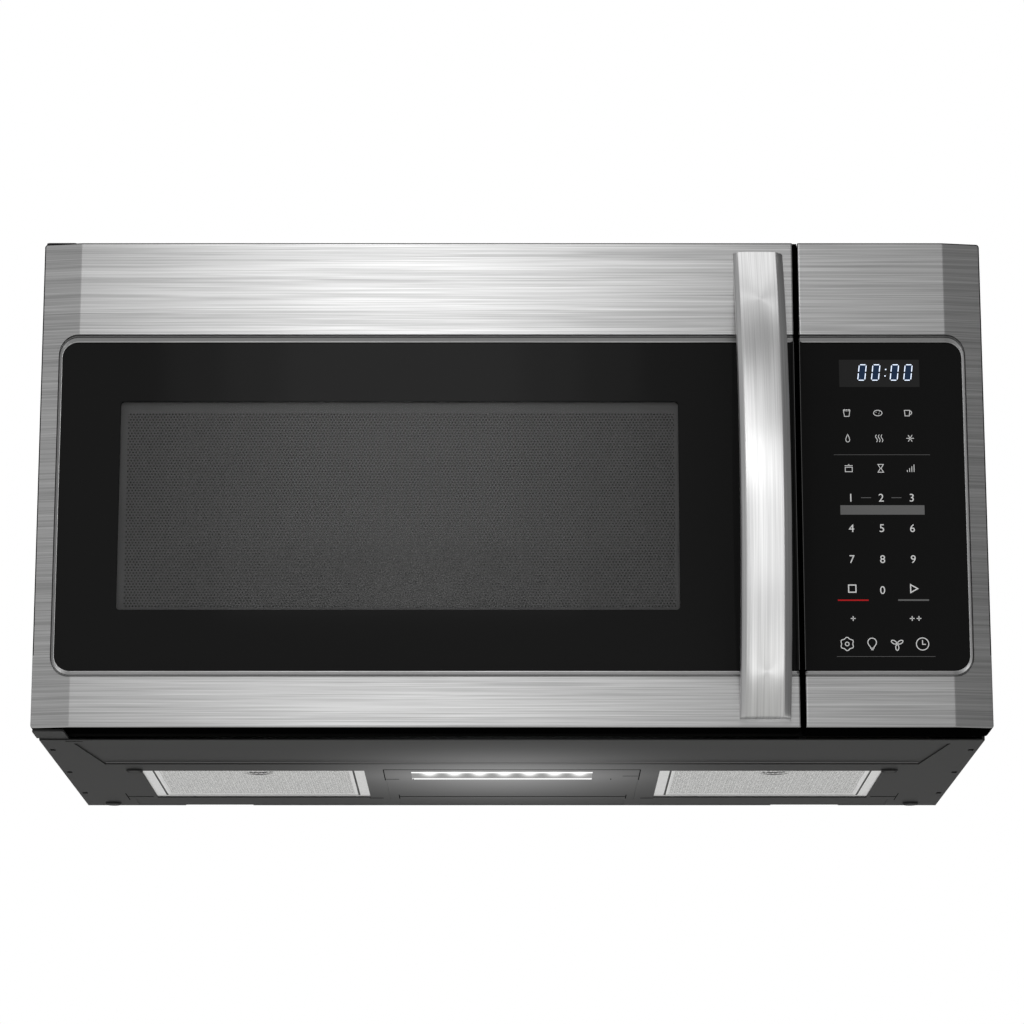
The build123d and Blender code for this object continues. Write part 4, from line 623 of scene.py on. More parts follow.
bubbles = [round_line(x, 1.3, 0.95, start=180, stop=0, steps=9) for x in (-1.8, 0, 1.8)]
bucket = [
    ([(-2.6, 1.2), (-1.8, -3.4), (1.8, -3.4), (2.6, 1.2)], True), (np.concatenate(bubbles), False),
]
oval = [(round_line(0, -0.6, 3.4, 2.3), True)]
oval += [bar(x, z, x + 0.5, z) for x, z in ((-1.6, 0), (0.6, -1.2), (1.1, 0.4))]
cup = [
    ([(-2.6, 1.6), (-2.1, -3.0), (1.3, -3.0), (1.8, 1.6)], True),
    (round_line(1.7, -0.4, 1.5, start=80, stop=-80, steps=12), False),
]
t = np.radians(np.linspace(0, 360, 30, endpoint=False))
droplet = [(np.stack([2.2 * np.sin(t) * np.sin(t / 2) ** 1.5, 0.2 + 3.2 * np.cos(t)], 1), True)]
sway, rise = 0.7 * np.sin(np.linspace(0, 6.3, 14)), np.linspace(-3, 3, 14)
waves = [(np.stack([x + sway, rise], 1), False) for x in (-2.2, 0, 2.2)]
spokes = [(3.1 * math.cos(q), 3.1 * math.sin(q)) for q in np.radians([0, 60, 120])]
flake = [bar(-x, -z, x, z) for x, z in spokes]
pot = [
    ([(-2.8, 0.9), (-2.8, -2.8), (2.8, -2.8), (2.8, 0.9)], True),
    bar(-3.2, 2.2, 3.2, 2.2), bar(-0.5, 3.1, 0.5, 3.1),
]
glass_timer = [([(-2.2, 3.2), (2.2, 3.2), (0.3, 0), (2.2, -3.2), (-2.2, -3.2), (-0.3, 0)], True)]
levels = [bar(x, -3.0, x, -1.4 + 1.5 * i) for i, x in enumerate((-2.7, -0.9, 0.9, 2.7))]
a = np.radians(np.arange(0, 360, 6))
teeth = 4.9 + 0.5 * np.cos(6 * a)
gear = [(np.stack([teeth * np.sin(a), teeth * np.cos(a)], 1), True), (round_line(0, 0, 1.5), True)]
bulb_base = [(-1.5, -2.4), (-1.3, -3.4), (1.3, -3.4), (1.5, -2.4)]
bulb = [
    (np.concatenate([round_line(0, 1.3, 3.4, start=-40, stop=220), bulb_base]), True),
    bar(-1.0, -4.6, 1.0, -4.6),
]
petal = round_line(0, 2.9, 1.25, 2.3, steps=20)
turns = [(math.cos(q), math.sin(q)) for q in np.radians([60, 180, 300])]
fan = [(petal @ np.array([[c, s], [-s, c]]), True) for c, s in turns]
clock = [(round_line(0, 0, 4.9), True), ([(0, 3.2), (0, -0.3), (2.6, -0.3)], False)]
plus = [bar(-1.9, 0, 1.9, 0), bar(0, -1.9, 0, 1.9)]
square = [([(-2.9, -2.9), (2.9, -2.9), (2.9, 2.9), (-2.9, 2.9)], True)]
triangle = [([(-2.4, -3.2), (3.2, 0), (-2.4, 3.2)], True)]

# %% [markdown]
# Every key has a place on the control glass, given by its column and its height above
# the front's lower edge. The columns lean a little to the right from row to row.

# %% Ink the keys
# height of the row, places across, signs, width of the line
sign_rows = [
    (256.6, (269.0, 294.0, 318.0), (bucket, oval, cup), 0.55),
    (235.0, (269.4, 294.7, 319.5), (droplet, waves, flake), 0.55),
    (210.2, (269.7, 295.3, 319.3), (pot, glass_timer, levels), 0.55),
    (66.9, (265.4, 285.2, 305.0, 325.1), (gear, bulb, fan, clock), 0.7),
    (111.7, (270.4, 319.2), (square, triangle), 0.9),
    (87.5, (270.6, 317.4, 322.8), (plus, plus, plus), 0.7),
]
for height, columns, row, width in sign_rows:
    for x, sign in zip(columns, row):
        draw("white", (x, ink_z + height), sign, width)
for colour, height, ends, width in (
    ("red", 102.3, [(258.7, 283.2)], 1.1), ("grey", 102.4, [(306.6, 331.2)], 1.3),
    ("grey", 186.0, [(279.0, 287.0), (303.3, 311.3)], 0.5), ("grey", 221.4, [(258.0, 335.0)], 0.3),
    ("grey", 56.8, [(257.0, 335.0)], 0.3), ("grey", 175.95, [(262.3, 329.5)], 7.7),
):
    draw(colour, (0, ink_z), [bar(x0, height, x1, height) for x0, x1 in ends], width)

# %% Ink the numbers
figures = iter("1234567890")
number_height = 6.4
number_rows = [(height, (270.8, 295.1, 319.5)) for height in (186.0, 161.0, 135.7)]
number_rows.append((110.5, (294.5,)))


def number_shape(text, height):
    """Points (x, z) and faces of a number in Blender's font, centred, of a height in mm."""
    curve = bpy.data.curves.new("number", "FONT")
    curve.body = text
    curve.align_x = "CENTER"
    curve.resolution_u = 4
    source = new_object("number", curve)
    bpy.context.view_layer.update()
    shape = bpy.data.meshes.new_from_object(source)
    points = np.empty(len(shape.vertices) * 3)
    shape.vertices.foreach_get("co", points)
    points = points.reshape(-1, 3)[:, :2]
    faces = [list(p.vertices) for p in shape.polygons]
    bpy.data.objects.remove(source)
    bpy.data.meshes.remove(shape)
    low, high = points.min(0), points.max(0)
    return (points - (low + high) / 2) * (height / (high[1] - low[1])), faces


for height, columns in number_rows:
    for x in columns:
        points, faces = number_shape(next(figures), number_height)
        add_flat(ink["white"], points + [x, ink_z + height], faces)

inks = {}
for colour, (chunks, faces) in ink.items():
    inks[colour] = upright_piece("key_ink_" + colour, chunks, faces, ink_y)
    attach(inks[colour], "cabinet")

# %% [markdown]
# The clock is a row of seven-bar figures that glow through the glass. A bar is a
# six-sided lozenge, and the whole row leans like handwriting. The unlit middle of each
# figure still glows a little blue, so a dim patch lies behind it.

# %% Clock
figure_width, figure_height, bar_width, lean = 6.4, 13.6, 0.75, 0.12
clock_z = ink_z + 289.8
figure_places = (278.9, 289.9, 305.0, 315.9)


def lozenge(a, b, width, trim=0.5):
    """A bar from a to b with pointed ends, as six points."""
    a, b = np.asarray(a, float), np.asarray(b, float)
    way = (b - a) / np.linalg.norm(b - a)
    a, b = a + way * trim, b - way * trim
    tip, side = way * width / 2, np.array([-way[1], way[0]]) * width / 2
    return np.array([a, a + tip + side, b - tip + side, b, b - tip - side, a + tip - side])


def lean_over(points):
    """Slants points about the clock's middle height."""
    return points + np.stack([lean * points[:, 1], np.zeros(len(points))], 1)


def rectangle(x0, z0, x1, z1):
    """The four corners of an upright rectangle."""
    return np.array([(x0, z0), (x1, z0), (x1, z1), (x0, z1)])


lit, dim = [[], []], [[], []]
w, h = figure_width - bar_width, (figure_height - bar_width) / 2
corners = [(0, h), (w, h), (w, 0), (w, -h), (0, -h), (0, 0)]
glow_gap = 0.4  # between the dim patch and the bars' middle lines
for x in figure_places:
    place = [x + bar_width / 2, clock_z]
    for a, b in zip(corners, corners[1:] + corners[:1]):
        add_flat(lit, lean_over(lozenge(a, b, bar_width)) + place, [range(6)])
    patch = rectangle(glow_gap, -h + glow_gap, w - glow_gap, h - glow_gap)
    add_flat(dim, lean_over(patch) + place, [range(4)])
for level in (2.5, -2.9):
    dot = lean_over(round_line(0, level, 0.6, steps=12)) + [300.9, clock_z]
    add_flat(lit, dot, [range(12)])
clock_lit = upright_piece("clock_figures", *lit, glass_y - 0.08)
clock_dim = upright_piece("clock_glow", *dim, glass_y - 0.06)
display_lo, display_hi = extent("display_module")
display_margin = 5.0
pane_lo = display_lo[[0, 2]] + display_margin + [0, 0.4]
pane_hi = display_hi[[0, 2]] - display_margin + [0, 1.4]
pane = rectangle(*pane_lo, *pane_hi)
clock_pane = upright_piece("clock_pane", [pane], [[0, 1, 2, 3]], glass_y - 0.04)
for piece in (clock_lit, clock_dim, clock_pane):
    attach(piece, "cabinet")

# %% [markdown]
# Finishes. Colours are written as on a paint card, in sRGB hex, and one function turns
# them into the linear values that the renderer works in. One more function adds a node
# and sets what it is given. Handed an output, or a node, it links that instead.

# %% Colours and nodes
def paint(hex_code, alpha=1.0):
    """sRGB hex to linear: c/12.92 below 0.04045, else ((c + 0.055) / 1.055) ** 2.4."""
    c = np.array([int(hex_code[i:i + 2], 16) for i in (0, 2, 4)]) / 255
    linear = np.where(c <= 0.04045, c / 12.92, ((c + 0.055) / 1.055) ** 2.4)
    return (*[float(v) for v in linear], alpha)


def link(tree, source, node, socket):
    """Links an output, or the first output of a node, to a node's socket."""
    if isinstance(source, bpy.types.Node):
        source = source.outputs[0]
    tree.links.new(source, node.inputs[socket])


def add_node(tree, kind, sockets=None, **settings):
    """A node with its settings; a socket gets a value, or a link to an output or a node."""
    made = tree.nodes.new("ShaderNode" + kind)
    for key, value in settings.items():
        setattr(made, key, value)
    for key, value in (sockets or {}).items():
        if isinstance(value, (bpy.types.NodeSocket, bpy.types.Node)):
            link(tree, value, made, key)
        else:
            made.inputs[key].default_value = value
    return made


def show(tree, surface):
    """Makes a shader node the material's surface."""
    link(tree, surface, tree.nodes["Material Output"], "Surface")


def new_finish(name, **sockets):
    """A material whose Principled shader's sockets are set by name: base_color sets Base Color.

    Returns the material, its tree and the shader.
    """
    material = bpy.data.materials.new(name)
    material.use_nodes = True
    tree = material.node_tree
    shader = tree.nodes["Principled BSDF"]
    for key, value in sockets.items():
        shader.inputs[key.replace("_", " ").title().replace("Ior", "IOR")].default_value = value
    return material, tree, shader


# %% [markdown]
# Brushed stainless steel, type 430, is drawn under an abrasive belt. The belt leaves
# long fine scratches, so a light is mirrored as a band across the grain, and the surface
# shows streaks along it. The shader's anisotropy gives the band, and two stretched
# noises give the streaks.

# %% Brushed steel
def brushed_steel(name, colour, pale, across, turn, roughness=0.34):
    """Steel whose streaks lie side by side along an axis; turn is the anisotropy's, in turns."""
    material, tree, shader = new_finish(
        name, metallic=1.0, roughness=roughness, anisotropic=0.75, anisotropic_rotation=turn,
    )
    place = add_node(tree, "TexCoord").outputs["Object"]
    layers = []
    # streak length and width in metres: the belt's scratches, and the slower bands
    for length, width, detail in ((0.11, 0.00075, 2.0), (0.4, 0.004, 1.0)):
        scale = [1 / length] * 3
        scale[across] = 1 / width
        stretched = add_node(tree, "Mapping", {"Vector": place, "Scale": scale})
        noise = {"Vector": stretched, "Scale": 1.0, "Detail": detail}
        layers.append(add_node(tree, "TexNoise", noise))
    both = add_node(tree, "Math", {0: layers[1], 1: 0.45, 2: layers[0]}, operation="MULTIPLY_ADD")
    spread = add_node(tree, "MapRange", {"Value": both, "From Min": 0.47, "From Max": 0.98})
    tone = add_node(tree, "ValToRGB", {"Fac": spread})
    ends = tone.color_ramp.elements
    ends[0].color, ends[1].color = paint(colour), paint(pale)
    link(tree, tone, shader, "Base Color")
    bump = add_node(tree, "Bump", {"Height": layers[0], "Strength": 0.2, "Distance": 0.00001})
    link(tree, bump, shader, "Normal")
    return material


steel_front = brushed_steel("brushed stainless, grain across", "A4A4A4", "D2D2D2", 2, 0.25)
steel_handle = brushed_steel("brushed stainless, grain upright", "C0C0C0", "E0E0E0", 0, 0.0, 0.3)

# %% [markdown]
# Most other finishes differ only in colour, gloss and the size of their grain: powder
# coat has a fine orange peel, moulded plastic a spark-eroded grain, and bare sheet a
# faint mottle. One function makes them from those values.

# %% Grained finishes
def grained(name, colour, spread, grain_mm, bump_mm, roughness, metallic=0.0, specular=0.5):
    """A plain finish: noise of a grain size varies the colour by spread, and the surface."""
    material, tree, shader = new_finish(
        name, metallic=metallic, roughness=roughness, specular_ior_level=specular,
    )
    place = add_node(tree, "TexCoord").outputs["Object"]
    grain = {"Vector": place, "Scale": 1 / (grain_mm * MM), "Detail": 3.0}
    noise = add_node(tree, "TexNoise", grain)
    ramp = add_node(tree, "ValToRGB", {"Fac": noise})
    ends = ramp.color_ramp.elements
    ends[0].position, ends[1].position = 0.3, 0.7
    middle = np.array(paint(colour)[:3])
    ends[0].color = (*(middle * (1 - spread)), 1)
    ends[1].color = (*np.minimum(1, middle * (1 + spread)), 1)
    link(tree, ramp, shader, "Base Color")
    bump = add_node(tree, "Bump", {"Height": noise, "Strength": 0.5, "Distance": bump_mm * MM})
    link(tree, bump, shader, "Normal")
    return material


# name, colour, spread, grain and bump in mm, roughness
powder_coat = grained(
    "dark grey powder coat on steel", "363636", 0.05, 0.9, 0.03, 0.5, specular=0.03,
)
# black moulded plastic of the door's frame and housing, near black so that the door's underside
# reads as in shade; the front sheets' grooves, folds and returns, and the black lip in the gap,
# take it as painted shade
black_plastic_and_painted_shade = grained("black moulded ABS, also painted shade", "030303", 0.15, 0.6, 0.02, 0.6, specular=0.0)
inner_plastic = grained(
    "dark moulded ABS inside the door", "1E1E1F", 0.12, 0.6, 0.02, 0.42, specular=0.3,
)
bezel_finish = grained("satin bezel steel", "9C9C9C", 0.05, 1.2, 0.004, 0.3, metallic=1.0)
white_plastic = grained("white moulded acetal", "D8D8D2", 0.03, 0.8, 0.02, 0.4)
grey_plastic = grained("grey moulded ABS", "5A5B5E", 0.06, 0.7, 0.02, 0.45)
enamel = grained("light grey oven enamel", "A9A9A6", 0.03, 2.5, 0.01, 0.25)
zinc = grained("zinc-coated steel sheet", "A6A9AB", 0.12, 9.0, 0.004, 0.38, metallic=1.0)
screw_steel = grained("zinc-plated screw steel", "9A9A98", 0.08, 0.6, 0.01, 0.3, metallic=1.0)
lamination = grained("lacquered steel laminations", "55504A", 0.15, 0.5, 0.03, 0.45, metallic=0.6)
aluminium = grained("mill-finish aluminium", "F2F2F2", 0.08, 1.6, 0.05, 0.38, metallic=1.0)
filter_net = grained("expanded aluminium mesh", "F6F6F6", 0.2, 2.4, 0.15, 0.26, metallic=1.0)
mica = grained("pressed mica sheet", "B9AE92", 0.14, 3.0, 0.03, 0.55)
board_green = grained("green solder resist on glass epoxy", "15502C", 0.2, 1.4, 0.02, 0.3)
carbon = grained("charcoal granules in a net", "161616", 0.5, 2.2, 0.4, 0.8)
rubber = grained("black moulded rubber", "181818", 0.1, 0.5, 0.02, 0.65)
screen_black = grained("black enamelled steel", "101010", 0.1, 0.5, 0.01, 0.4)
# the front plate's black enamel, which also stands as painted shade where it shows through the gap
# behind the door
shade_black = grained(
    "matt black enamel on the oven's front", "0E0E0E", 0.2, 0.8, 0.01, 0.5, specular=0.08,
)
# painted shade for the underside's fold lines, and a painted highlight for the shelf's edge
crease_painted_shade = grained("painted shade of a fold in powder coat", "0C0C0C", 0.1, 0.8, 0.01, 0.7, specular=0.0)
crease_painted_highlight = grained("painted highlight on an edge of powder coat", "626262", 0.1, 0.8, 0.01, 0.5, specular=0.03)
# dull grey: painted shade in the filter frame's groove, and the pull tab's crescent
groove_shade_and_tab_grey = grained("groove in the filter's frame", "4E4E4E", 0.1, 0.8, 0.01, 0.5, specular=0.1)
ground_edge = grained("ground glass edge", "565656", 0.05, 0.8, 0.01, 0.4, specular=0.1)

# %% [markdown]
# The door's glass is clear, with black ceramic ink fired on its back all round the
# window. The window itself is only tinted. One mask, a rounded rectangle worked out from
# the distance to its middle, says which is which.

# %% Glass
window_corner = 3.0
pane_gloss = 0.004  # share of the light that the window mirrors
any_depth = 10  # metres: the mask doesn't ask how deep a point lies


def rounded_mask(tree, middle, half, radius):
    """1 inside a rounded rectangle in X and Z (metres), 0 outside: its distance, cut."""
    place = add_node(tree, "TexCoord").outputs["Object"]
    middle = (middle[0], 0, middle[1])
    straight = (half[0] - radius, any_depth, half[1] - radius)
    centred = add_node(tree, "VectorMath", {0: place, 1: middle}, operation="SUBTRACT")
    size = add_node(tree, "VectorMath", {0: centred}, operation="ABSOLUTE")
    beyond = add_node(tree, "VectorMath", {0: size, 1: straight}, operation="SUBTRACT")
    outside = add_node(tree, "VectorMath", {0: beyond, 1: (0, 0, 0)}, operation="MAXIMUM")
    distance = add_node(tree, "VectorMath", {0: outside}, operation="LENGTH").outputs["Value"]
    return add_node(tree, "Math", {0: distance, 1: radius}, operation="LESS_THAN")


def black_glass(name, colour, window):
    """Black-printed glass, whose grey is partly painted reflection; where the mask of a window is
    1, the light goes through, tinted.
    """
    material, tree, shader = new_finish(
        name, roughness=0.06, ior=1.5, base_color=paint(colour), specular_ior_level=0.05,
    )
    if window:
        middle = (window_lo + window_hi)[[0, 2]] / 2 * MM
        half = (window_hi - window_lo)[[0, 2]] / 2 * MM
        mask = rounded_mask(tree, middle, half, window_corner * MM)
        clear = add_node(tree, "BsdfTransparent", {"Color": paint("DADADA")})
        gloss = add_node(tree, "BsdfGlossy", {"Color": paint("FFFFFF"), "Roughness": 0.06})
        pane = add_node(tree, "MixShader", {0: pane_gloss, 1: clear, 2: gloss})
        show(tree, add_node(tree, "MixShader", {0: mask, 1: shader, 2: pane}))
    return material


# the prints' greys are partly painted reflection: the glass mirrors little (specular level 0.05)
door_pane = black_glass("black-printed door glass", "1C1C1C", True)
touch_pane = black_glass("black-printed touch glass", "151515", False)

# %% [markdown]
# The screen's holes stand in rows, each row moved half a step, as a punch press makes
# them. Three cosine waves, 60 degrees apart, add up to a peak at every point of such a
# triangular grid, so a cut on their sum leaves a round hole at each peak. The real
# holes are about 1 mm; they are drawn 2.6 mm apart so that they show.

# %% Punched screen
hole_cut = 0.35  # the waves' sum, from -1.5 to 3, at a hole's rim
hole_clear = 0.65  # the hole's wall hides the rest
# the sheet is left whole along its edges, most at the top; metres across and up
punched_middle, punched_half, punched_corner = (-0.0893, 0.1822), (0.2195, 0.0802), 0.001


def punched_screen(pitch=2.6 * MM):
    """Enamelled sheet, lightened as painted sheen; see-through where the three waves add up to more
    than the cut.
    """
    # painted sheen: the sheet's grey is lighter than its enamel, as the window's glass mirrors
    # little
    material, tree, shader = new_finish(
        "punched screen steel", roughness=0.5, base_color=paint("9C9C9C"), specular_ior_level=0.1,
    )
    place = add_node(tree, "TexCoord").outputs["Object"]
    wave_number = 4 * math.pi / (math.sqrt(3) * pitch)
    total = 0.0
    for turn in (30, 90, 150):
        turn = math.radians(turn)
        way = [wave_number * math.cos(turn), 0, wave_number * math.sin(turn)]
        phase = add_node(tree, "VectorMath", {0: place, 1: way}, operation="DOT_PRODUCT")
        wave = add_node(tree, "Math", {0: phase.outputs["Value"]}, operation="COSINE")
        total = add_node(tree, "Math", {0: total, 1: wave}, operation="ADD")
    hole = add_node(tree, "Math", {0: total, 1: hole_cut}, operation="GREATER_THAN")
    punched = rounded_mask(tree, punched_middle, punched_half, punched_corner)
    hole = add_node(tree, "Math", {0: hole, 1: punched}, operation="MULTIPLY")
    hole = add_node(tree, "Math", {0: hole, 1: hole_clear}, operation="MULTIPLY")
    clear = add_node(tree, "BsdfTransparent")
    show(tree, add_node(tree, "MixShader", {0: hole, 1: shader, 2: clear}))
    return material


screen_finish = punched_screen()


def see_through(name, colour, share, roughness=0.08):
    """Clear plastic or glass: part of the light passes straight through, tinted."""
    material, tree, shader = new_finish(name, roughness=roughness, base_color=paint(colour))
    clear = add_node(tree, "BsdfTransparent", {"Color": paint(colour)})
    show(tree, add_node(tree, "MixShader", {0: share, 1: shader, 2: clear}))
    return material


film = see_through("clear polyester film", "E8E8E8", 0.96)
tray_glass = see_through("tempered tray glass", "DDE6E4", 0.7)

# %% [markdown]
# The hood's lamp is seven small LEDs behind a ribbed lens. The lens catches the light
# along its front and rear edges, and each LED shows as a soft spot. The light on the
# panel round it is painted: the panel's powder coat glows a little round the lens.

# %% Lamp
lens_lo, lens_hi = extent("lamp_lens")
lens_x = (lens_lo[0] + lens_hi[0]) / 2
lens_lap = 4.0
lens_y0, lens_y1 = lens_lo[1] + lens_lap, lens_hi[1] - lens_lap
led_count, led_step, led_x = 7, 21.1, lens_x + 2.1


def soft_spot(tree, place, middle, reach):
    """exp(-(r / reach)**2) of the distance to a middle, with its own reach along each axis."""
    offset = add_node(tree, "VectorMath", {0: place, 1: middle}, operation="SUBTRACT")
    shrink = [1 / r for r in reach]
    scaled = add_node(tree, "VectorMath", {0: offset, 1: shrink}, operation="MULTIPLY")
    squared = add_node(tree, "VectorMath", {0: scaled, 1: scaled}, operation="DOT_PRODUCT")
    return add_node(tree, "Math", {0: math.e ** -1, 1: squared.outputs["Value"]}, operation="POWER")


def lit_lens():
    """The lens: edge lines and LED spots that shine, on dull clear plastic."""
    material, tree, shader = new_finish(
        "ribbed clear lens, lit", roughness=0.25, base_color=paint("5A5A5A"),
        emission_color=paint("FFFFFF"),
    )
    place = add_node(tree, "TexCoord").outputs["Object"]
    total = 0.0
    # x, y and the reach along each in mm; a reach without end makes a line across the lens
    leds = [led_x + (i - led_count // 2) * led_step for i in range(led_count)]
    spots = [(x, lens_y0 + 8, 5.5, 13.0) for x in leds]
    spots += [(lens_x, y, 1e4, 3.2) for y in (lens_y0 + 3, lens_y1 - 3)]
    for x, y, rx, ry in spots:
        spot = soft_spot(tree, place, (x * MM, y * MM, 0), (rx * MM, ry * MM, any_depth))
        total = add_node(tree, "Math", {0: total, 1: spot}, operation="ADD")
    link(tree, total, shader, "Emission Strength")
    return material


def paint_with_painted_lamp_glow(name, colour):
    """Powder coat with the lamp's light painted on: a soft spot of glow round the lens."""
    material = grained(name, colour, 0.05, 0.9, 0.03, 0.5, specular=0.03)
    tree = material.node_tree
    shader = tree.nodes["Principled BSDF"]
    place = add_node(tree, "TexCoord").outputs["Object"]
    middle = (lens_x * MM, (lens_y0 + lens_y1) / 2 * MM, 0)
    painted_glow = soft_spot(tree, place, middle, (0.105, 0.10, any_depth))
    painted_glow_close = soft_spot(tree, place, middle, (0.095, 0.028, any_depth))
    painted_glow = add_node(tree, "Math", {0: painted_glow_close, 1: 0.35, 2: painted_glow}, operation="MULTIPLY_ADD")
    strength = add_node(tree, "Math", {0: painted_glow, 1: 0.21}, operation="MULTIPLY")
    shader.inputs["Emission Color"].default_value = paint("FFFFFF")
    link(tree, strength, shader, "Emission Strength")
    return material


lens_finish = lit_lens()
lamp_panel_paint_and_painted_glow = paint_with_painted_lamp_glow("dark grey powder coat, lamp panel, with painted lamp light", "363636")
base_paint_and_painted_glow = paint_with_painted_lamp_glow("dark grey powder coat, base, with painted lamp light", "363636")

# %% Inks and the clock's light
def plain_ink(name, colour, glow):
    """Ink or a lit bar: a matt colour that also shines by glow."""
    return new_finish(
        name, roughness=0.6, base_color=paint(colour), specular_ior_level=0.1,
        emission_color=paint(colour), emission_strength=glow,
    )[0]


ink_finish = {
    "white": plain_ink("white ceramic ink", "E6E6E6", 0.0),
    "grey": plain_ink("grey ceramic ink", "6A6A6A", 0.0),
    "red": plain_ink("red ceramic ink", "C41E22", 0.0),
}
clock_light = plain_ink("lit clock bar", "DCE8FA", 0.75)
clock_blue = plain_ink("clock glow behind the bars", "1A2C46", 0.25)
clock_glass = plain_ink("smoked display window", "262626", 0.0)

# %% [markdown]
# Each solid of the frame takes its finish by name, and the new pieces take theirs.

# %% Give out the finishes
finish_of = {
    powder_coat: ["outer_case", "hinge_brackets", "vent_grille", "hinge_pins"],
    shade_black: ["front_plate"],
    base_paint_and_painted_glow: ["base_plate"],
    lamp_panel_paint_and_painted_glow: ["lamp_panel"],
    black_plastic_and_painted_shade: ["door_frame", "control_housing"],
    inner_plastic: ["choke_cover", "latch_hook", "interlock_bracket"],
    white_plastic: [
        "turntable_coupler", "roller_ring", "roller_1", "roller_2", "roller_3", "fan_blade",
        "switch_plunger_primary", "switch_plunger_secondary", "switch_plunger_monitor",
    ],
    grey_plastic: [
        "door_switches", "exhaust_adapter", "damper_flap", "cavity_lamp", "blower_wheel_left",
        "blower_wheel_right", "display_module",
    ],
    enamel: ["cavity"],
    zinc: ["rear_panel", "waveguide", "fan_shroud", "blower_housing", "blower_shaft"],
    screw_steel: ["side_screws", "handle_screws", "latch_spring"],
    lamination: ["hv_transformer", "fan_motor", "blower_motor", "turntable_motor"],
    aluminium: ["grease_filter_left", "grease_filter_right", "magnetron", "capacitor_and_diode"],
    mica: ["waveguide_cover"],
    board_green: ["control_board", "led_board"],
    carbon: ["charcoal_filter"],
    rubber: ["base_bumpers", "cord_gland"],
    screen_black: ["door_screen"],
    door_pane: ["door_glass"],
    touch_pane: ["control_glass"],
    film: ["door_inner_film"],
    tray_glass: ["turntable_tray"],
    lens_finish: ["lamp_lens"],
    steel_front: ["door_skin", "control_skin"],
    steel_handle: ["handle_bar"],
}


def dress(piece, *materials):
    """Puts materials into an object's slots, in order.

    The slots aren't cleared first, because that would lose which face has which.
    """
    slots = piece.data.materials
    for number, material in enumerate(materials):
        if number < len(slots):
            slots[number] = material
        else:
            slots.append(material)


for material, names in finish_of.items():
    for name in names:
        dress(nodes[name], material)
for pieces, slot, materials in (
    ((door_face, control_face), "brushed_steel_skin", (steel_front, bezel_finish, black_plastic_and_painted_shade)),
    ((handle,), "handle_metal", (steel_handle,)),
    ((window_screen,), "screen_steel", (screen_finish,)),
    (filter_meshes, "aluminium", (filter_net,)),
    (filter_frames, "aluminium", (aluminium, groove_shade_and_tab_grey)),
    (filter_tabs, "aluminium", (groove_shade_and_tab_grey,)),
    ((bumpers,), "rubber", (powder_coat, rubber)),
    ((door_strip, panel_strip), "black_glass", (touch_pane, ground_edge)),
    ((gap_shade_lip,), "black_plastic", (black_plastic_and_painted_shade,)),
    ((creases["dark"],), "case_paint", (crease_painted_shade,)),
    ((creases["pale"],), "case_paint", (crease_painted_highlight,)),
):
    for piece in pieces:
        dress(piece, *materials)
for colour, piece in inks.items():
    dress(piece, ink_finish[colour])
dress(clock_lit, clock_light)
dress(clock_dim, clock_blue)
dress(clock_pane, clock_glass)
dressed = sum(len(names) for names in finish_of.values())
print("finishes", len(finish_of), "on", dressed, "of", len(nodes), "solids")
assert dressed == len(nodes)

# %% [markdown]
# The studio: a pale floor well below, a white surround, and softboxes. Brushed steel
# shows what stands in front of it, so the look of the front is made by one tall softbox
# a little left of the middle, mirrored as a bright band across the grain.

# %% Floor
floor_z = -1.35
floor_radius = 7.0
rim_angle = np.radians(np.arange(0, 360, 3))
rim = floor_radius * np.stack([np.cos(rim_angle), np.sin(rim_angle)], 1)
disc = np.column_stack([rim, np.full(len(rim), floor_z)])
floor = new_mesh("floor", disc, [range(len(disc))])
floor_finish = grained("pale matt floor", "F4F4F2", 0.02, 4.0, 0.02, 0.8, specular=0.1)
dress(floor, floor_finish)

# %% Surround
world = bpy.data.worlds.new("studio")
world.use_nodes = True
sky = world.node_tree
background = sky.nodes["Background"]
path = add_node(sky, "LightPath")
seen = path.outputs["Is Camera Ray"]
for ray in ("Is Transmission Ray", "Is Glossy Ray"):
    seen = add_node(sky, "Math", {0: seen, 1: path.outputs[ray]}, operation="MAXIMUM")
level = add_node(sky, "MapRange", {"Value": seen, "To Min": 0.62, "To Max": 1.0})
background.inputs["Color"].default_value = (1, 1, 1, 1)
link(sky, level, background, "Strength")
bpy.context.scene.world = world


# %% Softboxes
def softbox(name, place, aim, width, height, watts):
    """A rectangular area light at a place, aimed at a point; the camera doesn't see it."""
    data = bpy.data.lights.new(name, "AREA")
    data.shape = "RECTANGLE"
    data.size, data.size_y = width, height
    data.energy = watts
    lamp = new_object(name, data)
    lamp.location = place
    x, y, z = np.array(aim) - np.array(place)
    lamp.rotation_euler = (math.atan2(math.hypot(x, y), -z), 0, math.atan2(-x, y))
    lamp.visible_camera = False
    print("softbox", name, place)
    return lamp


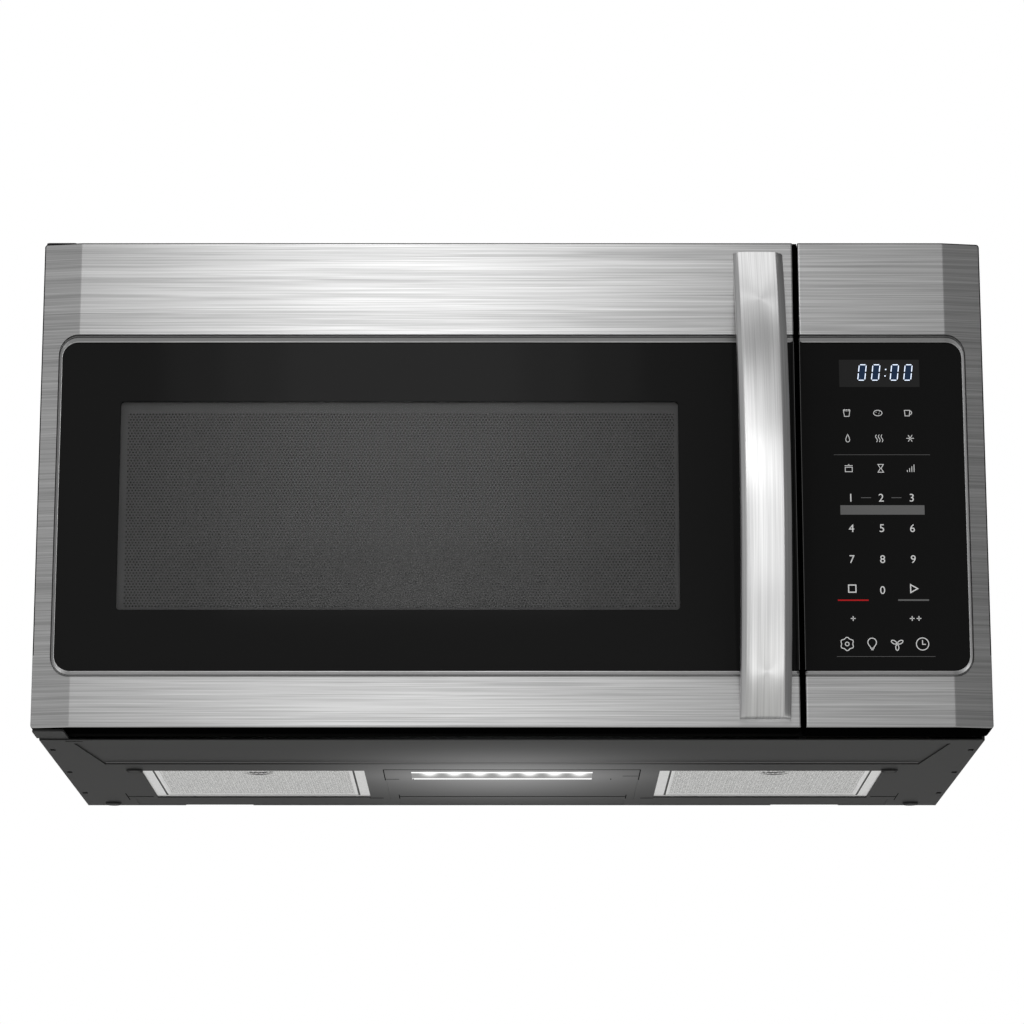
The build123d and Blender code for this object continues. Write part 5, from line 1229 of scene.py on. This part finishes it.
# four boxes, each behind the last and larger, so that the band they make fades at its edges
for step in range(1, 5):
    box_width, box_height = 0.2 * step, 0.7 * step
    softbox(
        f"front_softbox_{step}", (-0.185, -3.1 - 0.02 * step, 1.55), (-0.184, 0, 1.0),
        box_width, box_height, math.pi * box_width * box_height,
    )
softbox("top_softbox", (0, -0.6, 2.6), (0, 0, 0.2), 2.0, 2.0, 3.0)

# a photographer lights a bright handle apart, with strips flagged off from all else
only_handle = bpy.data.collections.new("lit by the strips")
only_handle.objects.link(handle)
strip_width = 0.7
for step, strip_height, strip_radiance in ((1, 2.6, 1.3), (2, 1.1, 0.6)):
    strip = softbox(
        f"handle_strip_{step}", (0.42, -2.3 - 0.02 * step, -0.4 + 0.3 * step), (0.21, -0.2, 0.1),
        strip_width, strip_height, strip_radiance * math.pi * strip_width * strip_height,
    )
    strip.light_linking.receiver_collection = only_handle


# %% [markdown]
# Mirrored rays that miss the softboxes would see only white. Two grey cards out of sight
# give the steel something darker to mirror, so that its folds read.

# %% Grey cards and the oven's own lamp
card_top = 6.0


def grey_card(name, corners, brightness):
    """A tall card on the floor, through these (x, y) corners. Only mirrored rays see it."""
    points = [(x, y, z) for x, y in corners for z in (floor_z, card_top)]
    card = new_mesh(name, points, grid_faces(len(corners), 2))
    material = bpy.data.materials.new(name)
    material.use_nodes = True
    glow = add_node(material.node_tree, "Emission", {"Strength": brightness})
    show(material.node_tree, glow)
    dress(card, material)
    card.visible_camera = card.visible_diffuse = False
    card.visible_shadow = card.visible_transmission = False


grey_card("grey_card_left", [(1.2, -3.3), (-3.4, -3.3), (-3.4, 1.5)], 0.5)
grey_card("grey_card_right", [(1.2, -3.3), (3.4, -3.3), (3.4, 1.5)], 0.2)
oven_lamp = bpy.data.lights.new("oven_lamp", "POINT")
oven_lamp.energy = 0.12
oven_lamp.shadow_soft_size = 0.06
oven_bulb = new_object("oven_lamp", oven_lamp)
oven_bulb.location = (-0.09, 0.12, 0.2)

bpy.context.scene.view_settings.view_transform = "Standard"
